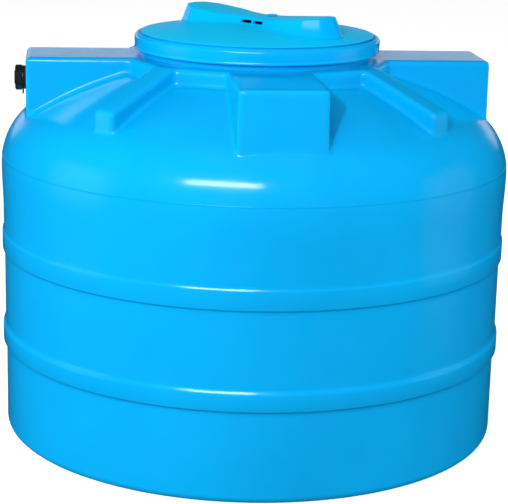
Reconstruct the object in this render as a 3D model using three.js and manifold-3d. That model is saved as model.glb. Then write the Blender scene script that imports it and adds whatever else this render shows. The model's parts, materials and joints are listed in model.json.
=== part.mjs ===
// A closed 200 litre polyethylene water tank: one moulded shell with four flat-faced bosses, a screw lid
// with a moulded grip, and a float valve that fills the tank through the wall of one boss.
// Millimetres, +Z up. The origin is the centre of the base. The float valve is on the -X boss.
import * as THREE from "three";
import { mergeVertices } from "three/addons/utils/BufferGeometryUtils.js";
import Module from "manifold-3d";

const wasm = await Module();
wasm.setup();

// Clearances
const touchGap = 0.3; // between pieces that touch
const runGap = 0.4; // round a piece that turns or slides
const overrun = 1; // how far a cutting or joining body passes a face

// Tank shell
const tankRadius = 374; // over the bands
const shoulderZ = 400; // height of the straight wall
const wallThickness = 5;
const baseInset = 5; // wall below the lower band, in from the bands
const middleInset = 3.5; // wall between the bands
const upperInset = 2; // wall above the upper band
const lowerBandZ = 131; // sharp lower edge of each band
const upperBandZ = 271;
const bandHeight = 33;
const bandEdge = 3; // height of the step under a band
const bandSlope = 8.25; // height of the slope over a band
const baseFillet = 12;
const shoulderRadius = 96;
const shoulderTurn = 59; // degrees of shoulder arc before the flatter dome
const domeRadius = 560;
const domeTurn = 13.3; // degrees of dome arc up to the platform
const tankSides = 48;

// Neck, mouth and thread
const mouthRadius = 166;
const neckWall = 5.2;
const neckHeight = 20.5;
const threadPitch = 10;
const threadHeight = 3; // along the axis, at its root
const threadCrestShare = 0.55; // height of a ridge at its crest, as a share of that at its root
const threadRoot = 2; // how far a ridge is sunk into its wall
const threadCrest = 3.8; // how far a ridge stands out
const threadClearance = 1.5; // from a crest to the wall it passes
const threadFoot = 8.5; // centre of the neck's ridge where it starts, above the platform
const neckThreadTurn = 350; // degrees
const lidThreadStart = 165; // degrees
const lidThreadTurn = 340;
const threadStep = 10; // degrees between sections

// Platform under the lid, bosses and ribs
const platformRise = 159.5; // above the straight wall
const platformMargin = 16.5; // flat of the octagon, out from the lid
const platformRound = 7;
const platformDepth = 60; // from the top down to inside the shell
const bossInset = 37; // end face, in from the bands
const bossHalfWidth = 60; // at the top
const bossDraft = 2; // wider by this at the foot
const bossRound = 6;
const bossDepth = 112;
const ribHalfWidth = 18.7;
const ribStart = 11.5; // where the sloping top edge starts, out from the octagon's flat
const ribInset = 46; // end face, in from the bands
const ribFall = 47.5; // of the top edge, along the rib
const ribDepth = 110;
const ribRound = 5;

// Lid
const lidSkirtThickness = 3.5;
const lidLift = 7.5; // lower edge of the skirt above the platform
const lidHeight = 22.5; // skirt, from its lower edge to its shoulder
const lidBottomRound = 3;
const lidEdgeRound = 6;
const discInset = 9; // edge of the disc, in from the skirt
const discStep = 2.5; // disc above the shoulder
const discGroove = 2.2; // width and depth of the groove round the disc
const discRise = 14;
const lidThickness = 5;
const gasketThickness = 3;
const gasketOverlap = 1.4; // past the neck's lip on both sides
const spigotClearance = 2.4; // ring that centres the lid in the mouth
const spigotWall = 3.2;
const spigotDepth = 6;
const seatStep = 2; // flat of the seat inside the spigot
const lidSides = 48;

// Grip on the lid: half widths at shares of its half length, along its top face
const gripAngle = -46; // degrees from +X
const gripShift = 4; // its middle, along its length, from the lid's centre
const gripInset = 39; // end of the top face, in from the disc's edge
const gripOutline = [
  [0, 21],
  [0.21, 24],
  [0.42, 33],
  [0.62, 34.5],
  [0.77, 33],
  [0.83, 29],
  [0.96, 17.5],
  [0.99, 9],
];
const gripDraft = 10; // wider by this at the foot
const gripMiddleRise = 24.5; // above the disc's edge
const gripEndRise = 33;
const gripFootRise = 0;
const gripSaddle = 1.7; // power of the rise of the top from its middle to its ends
const gripSteps = 40; // points round the grip
const gripWall = 4;
const slotLength = 20;
const slotHeight = 4.5;
const slotSpacing = 23;
const slotMiddle = 8; // middle of the pair, along the grip
const slotRise = 17.5;

// Breather cap in the top of the grip
const breatherRadius = 8;
const breatherHeight = 2.4;
const breatherEdge = 1.4; // width of its chamfer
const breatherStemRadius = 3.6;
const breatherStem = 9;
const breatherAlong = 15;
const breatherAcross = 10;

// Float valve, measured inwards from the outer face of the boss
const valveDrop = 37; // its axis, below the top of the boss
const tailRadius = 10.4;
const tailBore = 5.5;
const tailProud = 1.1; // past the locknut
const sealThickness = 3; // rubber rings on both sides of the wall
const sealWidth = 6.6; // of the rubber rings and the flange, out from the tail
const washerThickness = 2.2;
const washerProud = 0.5; // past the rubber ring
const washerLug = 23.3; // end of the lug from the axis
const washerLugHalfWidth = 5;
const nutThickness = 10;
const nutAcrossFlats = 32;
const nutChamferShare = 0.6; // of a hexagon's corners past its flats
const flangeThickness = 5;
const barrelBore = 8.3;
const barrelWall = 4.7;
const barrelEnd = 67;
const nozzleSeat = 14.6; // bottom of the wide bore
const nozzleFlange = 3;
const nozzleBody = 5;
const nozzleOrifice = 2;
const nozzleTip = 30;
const nozzleTaper = 2; // length of its cone
const nozzleLip = 1.2; // width of its rim
const pistonEnd = 66;
const pistonCup = 2.8;
const pistonRim = 2; // round the rubber disc
const discSealThickness = 3.5;
const discSealProud = 1;
const spoutX = 33;
const spoutRadius = 8;
const spoutBore = 5.6;
const spoutEnd = 24;
const endCapWall = 2.5;
const endCapOverlap = 6;
const endCapThickness = 3;
const endCapChamfer = 1;
const strainerWall = 0.9;
const strainerLength = 20;
const strainerFlange = 7;
const strainerFlangeThickness = 1;
const strainerRecess = 1.5; // depth of the flange's seat in the tail
const strainerSlotHalfWidth = 0.6;
const strainerSlotStart = 4; // from the flange's face
const strainerSlotEnd = 3; // from the closed end

// Lever and float, the lever's own X running along the rod
const pivotX = 53; // from the outer face of the boss
const pivotGap = 4; // below the barrel
const armDrop = 48; // degrees below level, hanging
const armLift = 36; // degrees from hanging to shut
const fingerDrop = 6; // middle of the finger's tip below the valve's axis
const fingerRadius = 3;
const fingerHalfWidth = 2.1;
const leverHalfThickness = 3.8;
const pinRadius = 2;
const pinHeadProud = 1.4;
const pinHeadThickness = 1;
const pinTail = 2.4; // past the ear, on the clip's side
const clipGrooveDepth = 0.5;
const clipGrooveWidth = 1.4;
const clipThickness = 0.8;
const clipProud = 2; // ring of the clip, out from the pin
const clipMouthHalfWidth = 1.2;
const eyeWall = 2.7;
const earHalfLength = 7;
const earThickness = 4;
const earDrop = 6; // ear below the pivot
const neckHalfHeight = 2.4;
const clampWall = 3.2;
const clampStart = 20;
const clampEnd = 44;
const rodRadius = 3;
const rodStart = 24;
const screwAlong = 34;
const screwRadius = 2;
const screwHeadRadius = 5;
const screwHeadHeight = 5;
const screwHeadChamfer = 1;
const floatRadius = 55;
const floatWall = 2.5;
const floatAlong = 285;
const floatBoss = 10;
const floatBossLength = 9;
const floatSocket = 18; // depth of the hole that the rod screws into
const floatBossRelief = 1; // hollow in the foot of its boss, in from the boss
const floatSocketFloor = 3;
const floatNutThickness = 6;
const floatNutAcrossFlats = 10;

const radians = THREE.MathUtils.degToRad;

// Sizes and places that follow from those above
const bossReach = tankRadius - bossInset;
const platformTopZ = shoulderZ + platformRise;
const neckRadius = mouthRadius + neckWall;
const neckTopZ = platformTopZ + neckHeight;
const neckThreadZ = platformTopZ + threadFoot;
const lidSkirtInner = neckRadius + threadCrest + threadClearance;
const lidRadius = lidSkirtInner + lidSkirtThickness;
const platformApothem = lidRadius + platformMargin;
const domeTopZ = platformTopZ - 2 * platformRound;
const raisedStart = mouthRadius + 3 * wallThickness; // bosses and ribs start inside the platform
const lidBottomZ = platformTopZ + lidLift;
const lidShoulderZ = lidBottomZ + lidHeight;
const lidUndersideZ = neckTopZ + gasketThickness + 2 * touchGap;
const discRadius = lidRadius - discInset;
const discEdgeZ = lidShoulderZ + discStep;
const spigotOuter = mouthRadius - spigotClearance;
const spigotInner = spigotOuter - spigotWall;
const gripHalfLength = discRadius - gripInset;
const gripMiddleZ = discEdgeZ + gripMiddleRise;
const gripEndZ = discEdgeZ + gripEndRise;
const gripFootZ = discEdgeZ + gripFootRise;
const slotZ = discEdgeZ + slotRise;
const valveZ = platformTopZ - valveDrop;
const sealRadius = tailRadius + sealWidth;
const washerRadius = sealRadius + washerProud;
const barrelRadius = barrelBore + barrelWall;
const pistonRadius = barrelBore - touchGap;
const discSealRadius = pistonRadius - pistonRim;
const endCapRadius = barrelRadius + touchGap + endCapWall;
const strainerRadius = tailBore - runGap;
const pivotDrop = barrelRadius + pivotGap;
const fingerReach = pivotDrop - fingerDrop;
const pistonTravel = 2 * fingerReach * Math.sin(radians(armLift / 2));
const eyeRadius = pinRadius + touchGap + eyeWall;
const clampRadius = rodRadius + touchGap + clampWall;
const outerSealAt = -touchGap - sealThickness;
const washerAt = outerSealAt - touchGap - washerThickness;
const nutAt = washerAt - touchGap - nutThickness;
const tailEnd = nutAt - tailProud;
const innerSealAt = wallThickness + touchGap;
const flangeAt = innerSealAt + sealThickness + touchGap;
const barrelAt = flangeAt + flangeThickness;

const tankBlue = new THREE.MeshStandardMaterial({ color: 0x0099e6, roughness: 0.22, metalness: 0 });
const lidBlue = new THREE.MeshStandardMaterial({ color: 0x00a4e4, roughness: 0.25, metalness: 0 });
const blackPlastic = new THREE.MeshStandardMaterial({ color: 0x101113, roughness: 0.45, metalness: 0 });
const whitePlastic = new THREE.MeshStandardMaterial({ color: 0xe9e9e4, roughness: 0.4, metalness: 0 });
const rubber = new THREE.MeshStandardMaterial({ color: 0x17181a, roughness: 0.8, metalness: 0 });
const brass = new THREE.MeshStandardMaterial({ color: 0xc59a4a, roughness: 0.3, metalness: 1 });
const steel = new THREE.MeshStandardMaterial({ color: 0xb9bcc0, roughness: 0.3, metalness: 1 });
const floatRed = new THREE.MeshStandardMaterial({ color: 0xd8502a, roughness: 0.4, metalness: 0 });

// A closed geometry as a solid that can be joined and cut.
function solidOf(geometry) {
  const bare = geometry.index ? geometry.toNonIndexed() : geometry.clone();
  bare.deleteAttribute("normal");
  bare.deleteAttribute("uv");
  const merged = mergeVertices(bare, 1e-4);
  const corners = [];
  for (let i = 0; i < merged.index.count; i += 3) {
    const [a, b, c] = merged.index.array.slice(i, i + 3);
    if (a !== b && b !== c && c !== a) corners.push(a, b, c);
  }
  const vertProperties = merged.attributes.position.array;
  const triVerts = new Uint32Array(corners);
  return new wasm.Manifold(new wasm.Mesh({ numProp: 3, vertProperties, triVerts }));
}

function joined(...solids) {
  return solids.reduce((all, next) => all.add(next));
}

function meshOf(name, solid, material) {
  const made = solid.getMesh();
  const geometry = new THREE.BufferGeometry();
  geometry.setAttribute("position", new THREE.BufferAttribute(new Float32Array(made.vertProperties), 3));
  geometry.setIndex(new THREE.BufferAttribute(new Uint32Array(made.triVerts), 1));
  const faceted = geometry.toNonIndexed();
  faceted.computeVertexNormals();
  const mesh = new THREE.Mesh(faceted, material);
  mesh.name = name;
  return mesh;
}

// A profile of [radius, height] points turned round Z, listed either way round.
function turned(profile, sides) {
  const points = profile.map(([r, z]) => new THREE.Vector2(r, z));
  if (THREE.ShapeUtils.area(points) < 0) points.reverse();
  points.push(points[0].clone());
  return new THREE.LatheGeometry(points, sides).rotateX(Math.PI / 2);
}

// The same profile turned round X, as [radius, distance along X].
function turnedOnX(profile, sides) {
  return solidOf(turned(profile, sides).rotateY(Math.PI / 2));
}

function tube(inner, outer, from, to, sides) {
  return [[inner, from], [outer, from], [outer, to], [inner, to]];
}

function rod(radius, from, to) {
  return [[0, from], [radius, from], [radius, to], [0, to]];
}

// An outline in X and Z, extruded to both sides of Y = 0.
function plate(outline, halfThickness) {
  const shape = new THREE.Shape(outline.map(([x, z]) => new THREE.Vector2(x, z)));
  const geometry = new THREE.ExtrudeGeometry(shape, { depth: 2 * halfThickness, bevelEnabled: false });
  geometry.translate(0, 0, -halfThickness).rotateX(Math.PI / 2);
  return geometry;
}

function box(x, y, z) {
  const size = [x[1] - x[0], y[1] - y[0], z[1] - z[0]];
  const middle = [(x[0] + x[1]) / 2, (y[0] + y[1]) / 2, (z[0] + z[1]) / 2];
  return solidOf(new THREE.BoxGeometry(...size).translate(...middle));
}

// A cylinder along Y.
function pinOf(radius, from, to, sides = 20) {
  return solidOf(turned(rod(radius, from, to), sides).rotateX(-Math.PI / 2));
}

function arc(centreR, centreZ, radius, fromDegrees, toDegrees, steps) {
  return Array.from({ length: steps + 1 }, (_, i) => {
    const turn = radians(fromDegrees + ((toDegrees - fromDegrees) * i) / steps);
    return [centreR + radius * Math.cos(turn), centreZ + radius * Math.sin(turn)];
  });
}

// A helical ridge: a straight bar of the section, bent round Z and raised by the pitch in each turn.
function helicalRidge(section, fromDegrees, turnDegrees, startZ) {
  const shape = new THREE.Shape(section.map(([r, z]) => new THREE.Vector2(r, z)));
  const steps = Math.round(turnDegrees / threadStep);
  const bar = new THREE.ExtrudeGeometry(shape, { depth: turnDegrees, steps, bevelEnabled: false });
  const place = bar.attributes.position;
  for (let i = 0; i < place.count; i += 1) {
    // The bar is bent from its far end back, so that its faces still point outwards.
    const degrees = fromDegrees + turnDegrees - place.getZ(i);
    const r = place.getX(i);
    const height = startZ + place.getY(i) + (threadPitch * degrees) / 360;
    place.setXYZ(i, r * Math.cos(radians(degrees)), r * Math.sin(radians(degrees)), height);
  }
  return solidOf(bar);
}

// ---- Tank shell ----

// The shoulder and dome from the wall up, inset from the outer surface.
function domeProfile(inset) {
  const centreR = tankRadius - shoulderRadius;
  const shoulder = arc(centreR, shoulderZ, shoulderRadius - inset, 0, shoulderTurn, 8);
  const turn = radians(shoulderTurn);
  const further = domeRadius - shoulderRadius;
  const domeCentre = [centreR - further * Math.cos(turn), shoulderZ - further * Math.sin(turn)];
  const dome = arc(...domeCentre, domeRadius - inset, shoulderTurn, shoulderTurn + domeTurn, 4);
  return [...shoulder, ...dome.slice(1)];
}

function outerWall() {
  const band = (z, below, above) => [
    [below, z],
    [tankRadius, z + bandEdge],
    [tankRadius, z + bandHeight - bandSlope],
    [above, z + bandHeight],
  ];
  const baseRadius = tankRadius - baseInset;
  const middleRadius = tankRadius - middleInset;
  const upperRadius = tankRadius - upperInset;
  return [
    [0, 0],
    ...arc(baseRadius - baseFillet, baseFillet, baseFillet, -90, 0, 3),
    ...band(lowerBandZ, baseRadius, middleRadius),
    ...band(upperBandZ, middleRadius, upperRadius),
    ...domeProfile(0),
    [0, domeTopZ],
  ];
}

function innerWall() {
  const inside = tankRadius - baseInset - wallThickness;
  const fillet = baseFillet - wallThickness / 2;
  return [
    [0, wallThickness],
    ...arc(inside - fillet, wallThickness + fillet, fillet, -90, 0, 2),
    [inside, upperBandZ + bandHeight],
    ...domeProfile(wallThickness),
    [0, domeTopZ - wallThickness],
  ];
}

// The raised shapes of the top, inset by the wall thickness for their hollow inside.
function platform(inset) {
  const round = platformRound;
  const apothem = platformApothem - inset - round;
  const corner = apothem / Math.cos(Math.PI / 8);
  const shape = new THREE.Shape(
    Array.from({ length: 8 }, (_, i) => {
      const turn = (i * Math.PI) / 4;
      return new THREE.Vector2(corner * Math.cos(turn), corner * Math.sin(turn));
    }),
  );
  const depth = platformDepth - 2 * round;
  const options = { depth, bevelThickness: round, bevelSize: round, bevelSegments: 3 };
  const geometry = new THREE.ExtrudeGeometry(shape, options);
  return solidOf(geometry.translate(0, 0, platformTopZ - inset - depth - round));
}

function boss(inset, quarter) {
  const round = bossRound - inset;
  const top = bossHalfWidth - inset - round;
  const foot = bossHalfWidth + bossDraft - inset - round;
  const height = bossDepth - 2 * round;
  const shape = new THREE.Shape();
  shape.moveTo(-foot, -height);
  shape.lineTo(foot, -height);
  shape.lineTo(top, 0);
  shape.lineTo(-top, 0);
  const depth = bossReach - inset - raisedStart - 2 * round;
  const options = { depth, bevelThickness: round, bevelSize: round, bevelSegments: 3 };
  const geometry = new THREE.ExtrudeGeometry(shape, options);
  const alongX = new THREE.Matrix4().makeBasis(
    new THREE.Vector3(0, 1, 0),
    new THREE.Vector3(0, 0, 1),
    new THREE.Vector3(1, 0, 0),
  );
  geometry.applyMatrix4(alongX).translate(raisedStart + round, 0, platformTopZ - inset - round);
  return solidOf(geometry.rotateZ(quarter * (Math.PI / 2)));
}

function rib(inset, quarter) {
  const end = tankRadius - ribInset - inset;
  const outline = [
    [raisedStart, platformTopZ - inset - ribDepth],
    [end, platformTopZ - inset - ribDepth],
    [end, platformTopZ - inset - ribFall],
    [platformApothem + ribStart - inset, platformTopZ - inset],
    [raisedStart, platformTopZ - inset],
  ];
  const half = ribHalfWidth - inset;
  const shape = new THREE.Shape(outline.map(([r, z]) => new THREE.Vector2(r, z)));
  const bevelThickness = ribRound;
  const bevelSize = ribRound;
  const depth = 2 * (half - bevelThickness);
  const options = { depth, bevelThickness, bevelSize, bevelOffset: -bevelSize, bevelSegments: 2 };
  const geometry = new THREE.ExtrudeGeometry(shape, options);
  geometry.translate(0, 0, -depth / 2).rotateX(Math.PI / 2);
  return solidOf(geometry.rotateZ((quarter + 0.5) * (Math.PI / 2)));
}

function threadSection(root, crest) {
  const half = threadHeight / 2;
  const narrow = half * threadCrestShare;
  return [[root, -half], [crest, -narrow], [crest, narrow], [root, half]];
}

function tankShell() {
  const quarters = [0, 1, 2, 3];
  const neckSection = threadSection(neckRadius - threadRoot, neckRadius + threadCrest);
  const outer = joined(
    solidOf(turned(outerWall(), tankSides)),
    platform(0),
    ...quarters.map((i) => boss(0, i)),
    ...quarters.map((i) => rib(0, i)),
    solidOf(turned(rod(neckRadius, platformTopZ - wallThickness, neckTopZ), tankSides)),
    helicalRidge(neckSection, 0, neckThreadTurn, neckThreadZ),
  );
  const inner = joined(
    solidOf(turned(innerWall(), tankSides)),
    platform(wallThickness),
    ...quarters.map((i) => boss(wallThickness, i)),
    ...quarters.map((i) => rib(wallThickness, i)),
    solidOf(turned(rod(mouthRadius, platformTopZ - platformDepth, neckTopZ + overrun), tankSides)),
  );
  const hole = turnedOnX(rod(tailRadius + runGap, -wallThickness, 3 * wallThickness), 24);
  return outer.subtract(inner).subtract(hole.translate([-bossReach, 0, valveZ]));
}

// ---- Lid ----

function discZ(r) {
  return discEdgeZ + discRise * (1 - (r / discRadius) ** 2);
}

// A grip-shaped block, inset all round, whose sides lean in towards the top.
function gripBlock(inset) {
  const side = gripOutline.map(([share, across]) => [share * gripHalfLength, across]);
  const [middle, ...wing] = side;
  const back = [...wing].reverse();
  const ring = [
    middle,
    ...wing,
    [gripHalfLength, 0],
    ...back.map(([along, across]) => [along, -across]),
    [0, -middle[1]],
    ...wing.map(([along, across]) => [-along, -across]),
    [-gripHalfLength, 0],
    ...back.map(([along, across]) => [-along, across]),
  ];
  const points = ring.map(([along, across]) => new THREE.Vector3(along, across, 0));
  const smooth = new THREE.CatmullRomCurve3(points, true, "centripetal").getPoints(gripSteps).slice(0, -1);
  const shape = new THREE.Shape(smooth.map((p) => new THREE.Vector2(p.x, p.y)));
  const bevelThickness = gripEndZ + overrun - gripFootZ;
  const options = {
    depth: gripFootZ - lidBottomZ,
    bevelThickness,
    bevelSize: gripDraft,
    bevelOffset: -inset,
    bevelSegments: 1,
  };
  const sides = solidOf(new THREE.ExtrudeGeometry(shape, options).translate(0, 0, lidBottomZ));
  return sides.intersect(gripTop(inset));
}

// The saddle-shaped top, lowest in its middle.
function gripTopZ(along) {
  const share = Math.min(1, Math.abs(along) / (gripHalfLength - gripDraft));
  return gripMiddleZ + (gripEndZ - gripMiddleZ) * share ** gripSaddle;
}

function gripTop(inset) {
  const reach = gripHalfLength + 2 * gripDraft;
  const steps = 20;
  const top = Array.from({ length: steps + 1 }, (_, i) => {
    const along = reach * (1 - (2 * i) / steps);
    return [along, gripTopZ(along) - inset];
  });
  const outline = [[-reach, lidBottomZ - overrun], [reach, lidBottomZ - overrun], ...top];
  return solidOf(plate(outline, gripHalfLength));
}

function onGrip(solid) {
  return solid.translate([gripShift, 0, 0]).rotate([0, 0, gripAngle]);
}

function lidShell() {
  const seatInner = spigotInner - seatStep;
  const outer = [
    [lidSkirtInner, lidBottomZ],
    ...arc(lidRadius - lidBottomRound, lidBottomZ + lidBottomRound, lidBottomRound, -90, 0, 3),
    ...arc(lidRadius - lidEdgeRound, lidShoulderZ - lidEdgeRound, lidEdgeRound, 0, 90, 3),
    [discRadius + discGroove, lidShoulderZ],
    [discRadius + discGroove, lidShoulderZ - discGroove],
    [discRadius, lidShoulderZ - discGroove],
  ];
  const disc = [1, 0.8, 0.6, 0.4, 0.2, 0].map((share) => [discRadius * share, discZ(discRadius * share)]);
  const under = [0, 0.25, 0.5, 0.75, 1].map((share) => {
    const r = seatInner * share;
    return [r, discZ(r) - lidThickness];
  });
  const seat = [
    [seatInner, lidUndersideZ],
    [spigotInner, lidUndersideZ],
    [spigotInner, lidUndersideZ - spigotDepth],
    [spigotOuter, lidUndersideZ - spigotDepth],
    [spigotOuter, lidUndersideZ],
    [lidSkirtInner, lidUndersideZ],
  ];
  return solidOf(turned([...outer, ...disc, ...under, ...seat], lidSides));
}

function lid() {
  const ridge = helicalRidge(
    threadSection(lidSkirtInner + threadRoot, lidSkirtInner - threadCrest).reverse(),
    lidThreadStart,
    lidThreadTurn,
    neckThreadZ - threadHeight - 2 * touchGap,
  );
  const slots = [-1, 1].map((side) => {
    const middle = slotMiddle + (side * slotSpacing) / 2;
    const along = [middle - slotLength / 2, middle + slotLength / 2];
    return box(along, [-lidRadius, -gripWall], [slotZ - slotHeight / 2, slotZ + slotHeight / 2]);
  });
  const stemHole = solidOf(
    turned(rod(breatherStemRadius + runGap, gripFootZ, gripEndZ + overrun), 16).translate(
      breatherAlong,
      breatherAcross,
      0,
    ),
  );
  const grip = onGrip(gripBlock(0));
  const hollow = onGrip(gripBlock(gripWall));
  const across = [-lidRadius, lidRadius];
  const above = box(across, across, [discEdgeZ - lidThickness, gripEndZ + overrun]);
  return lidShell()
    .add(grip.intersect(above))
    .add(ridge)
    .subtract(hollow)
    .subtract(onGrip(joined(...slots, stemHole)));
}

function lidGasket() {
  const from = neckTopZ + touchGap;
  const inner = mouthRadius - gasketOverlap;
  const outer = neckRadius + gasketOverlap;
  return solidOf(turned(tube(inner, outer, from, from + gasketThickness), lidSides));
}

function breatherCap() {
  const seat = gripTopZ(breatherAlong + breatherRadius) + touchGap;
  const profile = [
    [0, seat - breatherStem],
    [breatherStemRadius, seat - breatherStem],
    [breatherStemRadius, seat],
    [breatherRadius, seat],
    [breatherRadius, seat + breatherHeight - breatherEdge],
    [breatherRadius - breatherEdge, seat + breatherHeight],
    [0, seat + breatherHeight],
  ];
  const cap = turned(profile, 24).translate(breatherAlong, breatherAcross, 0);
  return onGrip(solidOf(cap));
}

// ---- Float valve: the group's +X runs inwards from the outer face of the boss ----

function hexNut(acrossFlats, bore, from, to) {
  const corner = acrossFlats / 2 / Math.cos(Math.PI / 6);
  const chamfer = (corner - acrossFlats / 2) * nutChamferShare;
  const prism = turnedOnX(rod(corner, from, to), 6).rotate([30, 0, 0]);
  const rounded = turnedOnX(
    [
      [0, from],
      [corner - chamfer, from],
      [corner, from + chamfer],
      [corner, to],
      [0, to],
    ],
    36,
  );
  return prism.intersect(rounded).subtract(turnedOnX(rod(bore, from - overrun, to + overrun), 24));
}

function tabWasher() {
  const end = washerAt + washerThickness;
  const ring = turnedOnX(rod(washerRadius, washerAt, end), 36);
  const lug = box(
    [washerAt, end],
    [-washerLugHalfWidth, washerLugHalfWidth],
    [-washerLug, -tailRadius - runGap - overrun],
  );
  const bore = turnedOnX(rod(tailRadius + runGap, washerAt - overrun, end + overrun), 24);
  return ring.add(lug).subtract(bore);
}

function valveBody() {
  const earFoot = -pivotDrop - earDrop;
  const earOuter = leverHalfThickness + 2 * touchGap + earThickness;
  const solid = joined(
    turnedOnX(rod(tailRadius, tailEnd, flangeAt + overrun), 24),
    turnedOnX(rod(sealRadius, flangeAt, barrelAt), 36),
    turnedOnX(rod(barrelRadius, barrelAt - overrun, barrelEnd), 24),
    solidOf(turned(rod(spoutRadius, -spoutEnd, -barrelBore), 20).translate(spoutX, 0, 0)),
    box([pivotX - earHalfLength, pivotX + earHalfLength], [-earOuter, earOuter], [earFoot, -barrelBore]),
  );
  const slotHalf = leverHalfThickness + 2 * touchGap;
  const fingerSlot = box(
    [pivotX - earHalfLength - overrun, pivotX + earHalfLength + overrun],
    [-slotHalf, slotHalf],
    [earFoot - overrun, 0],
  );
  return solid
    .subtract(turnedOnX(rod(tailBore, tailEnd - overrun, nozzleSeat + overrun), 20))
    .subtract(turnedOnX(rod(strainerFlange + touchGap, tailEnd - overrun, tailEnd + strainerRecess), 20))
    .subtract(turnedOnX(rod(barrelBore, nozzleSeat, barrelEnd + overrun), 24))
    .subtract(solidOf(turned(rod(spoutBore, -spoutEnd - overrun, 0), 20).translate(spoutX, 0, 0)))
    .subtract(fingerSlot)
    .subtract(pinOf(pinRadius + touchGap, -barrelRadius, barrelRadius).translate([pivotX, 0, -pivotDrop]));
}

function seatNozzle() {
  const from = nozzleSeat + touchGap;
  return turnedOnX(
    [
      [nozzleOrifice, from],
      [pistonRadius, from],
      [pistonRadius, from + nozzleFlange],
      [nozzleBody, from + nozzleFlange],
      [nozzleBody, nozzleTip - nozzleTaper],
      [nozzleOrifice + nozzleLip, nozzleTip],
      [nozzleOrifice, nozzleTip],
    ],
    24,
  );
}

function strainer() {
  const from = tailEnd + strainerRecess - touchGap - strainerFlangeThickness;
  const end = from + strainerLength;
  const cup = turnedOnX(
    [
      [strainerRadius - strainerWall, from],
      [strainerFlange, from],
      [strainerFlange, from + strainerFlangeThickness],
      [strainerRadius, from + strainerFlangeThickness],
      [strainerRadius, end],
      [0, end],
      [0, end - strainerWall],
      [strainerRadius - strainerWall, end - strainerWall],
    ],
    24,
  );
  const slots = [0, 60, 120].map((turn) => {
    const slot = box(
      [from + strainerSlotStart, end - strainerSlotEnd],
      [-strainerSlotHalfWidth, strainerSlotHalfWidth],
      [-strainerFlange, strainerFlange],
    );
    return slot.rotate([turn, 0, 0]);
  });
  return cup.subtract(joined(...slots));
}

const sealAt = nozzleTip + touchGap + pistonTravel;
const pistonAt = sealAt + discSealProud;

function piston() {
  const body = turnedOnX(
    [
      [0, pistonAt + pistonCup],
      [discSealRadius + touchGap, pistonAt + pistonCup],
      [discSealRadius + touchGap, pistonAt],
      [pistonRadius, pistonAt],
      [pistonRadius, pistonEnd],
      [0, pistonEnd],
    ],
    24,
  );
  const middle = pivotX + fingerReach * Math.sin(radians(armLift / 2));
  const half = fingerRadius + runGap;
  const depth = -pivotDrop + fingerReach + fingerRadius + runGap;
  return body.subtract(box([middle - half, middle + half], [-barrelBore, barrelBore], [-barrelBore, depth]));
}

function pistonSeal() {
  return turnedOnX(rod(discSealRadius, sealAt, sealAt + discSealThickness), 24);
}

function endCap() {
  const inner = barrelRadius + touchGap;
  const face = barrelEnd + touchGap;
  return turnedOnX(
    [
      [0, face],
      [inner, face],
      [inner, face - endCapOverlap],
      [endCapRadius, face - endCapOverlap],
      [endCapRadius, face + endCapThickness - endCapChamfer],
      [endCapRadius - endCapChamfer, face + endCapThickness],
      [0, face + endCapThickness],
    ],
    24,
  );
}

const pinHeadAt = leverHalfThickness + 3 * touchGap + earThickness;

function leverPin() {
  const head = pinOf(pinRadius + pinHeadProud, -pinHeadAt - pinHeadThickness, -pinHeadAt, 16);
  const shank = pinOf(pinRadius, -pinHeadAt - pinHeadThickness / 2, pinHeadAt + pinTail, 16);
  const groove = pinOf(pinRadius + overrun, pinHeadAt, pinHeadAt + clipGrooveWidth, 16);
  const core = pinOf(pinRadius - clipGrooveDepth, 0, pinHeadAt + pinTail - touchGap, 16);
  return head.add(shank.subtract(groove)).add(core).translate([pivotX, 0, -pivotDrop]);
}

function pinClip() {
  const from = pinHeadAt + touchGap;
  const end = from + clipThickness;
  const ring = pinOf(pinRadius + clipProud, from, end, 20);
  const bore = pinOf(pinRadius - clipGrooveDepth + touchGap, from - overrun, end + overrun, 16);
  const mouth = box(
    [-clipMouthHalfWidth, clipMouthHalfWidth],
    [from - overrun, end + overrun],
    [-pinRadius - clipProud - overrun, 0],
  );
  return ring.subtract(bore).subtract(mouth).translate([pivotX, 0, -pivotDrop]);
}

// ---- Lever group: its own X runs along the rod, its origin is the pivot ----

function lever() {
  const toTip = radians(90 + armDrop - armLift / 2);
  const tip = [fingerReach * Math.cos(toTip), fingerReach * Math.sin(toTip)];
  const side = [fingerHalfWidth * Math.sin(toTip), -fingerHalfWidth * Math.cos(toTip)];
  const finger = plate(
    [
      [side[0], side[1]],
      [tip[0] + side[0], tip[1] + side[1]],
      [tip[0] - side[0], tip[1] - side[1]],
      [-side[0], -side[1]],
    ],
    leverHalfThickness,
  );
  const half = leverHalfThickness;
  const solid = joined(
    pinOf(eyeRadius, -half, half, 24),
    solidOf(finger),
    pinOf(fingerRadius, -half, half, 16).translate([tip[0], 0, tip[1]]),
    box([0, clampStart + overrun], [-half, half], [-neckHalfHeight, neckHalfHeight]),
    turnedOnX(rod(clampRadius, clampStart, clampEnd), 20),
  );
  const screwHole = turned(rod(screwRadius + touchGap, 0, clampRadius + overrun), 16);
  return solid
    .subtract(pinOf(pinRadius + touchGap, -barrelRadius, barrelRadius))
    .subtract(turnedOnX(rod(rodRadius + touchGap, rodStart, clampEnd + overrun), 16))
    .subtract(solidOf(screwHole.translate(screwAlong, 0, 0)));
}

const bossEnd = floatAlong - floatRadius - floatBossLength;
const rodEnd = bossEnd + floatSocket;

function floatRod() {
  return turnedOnX(rod(rodRadius, rodStart + touchGap, rodEnd - touchGap), 16);
}

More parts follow.
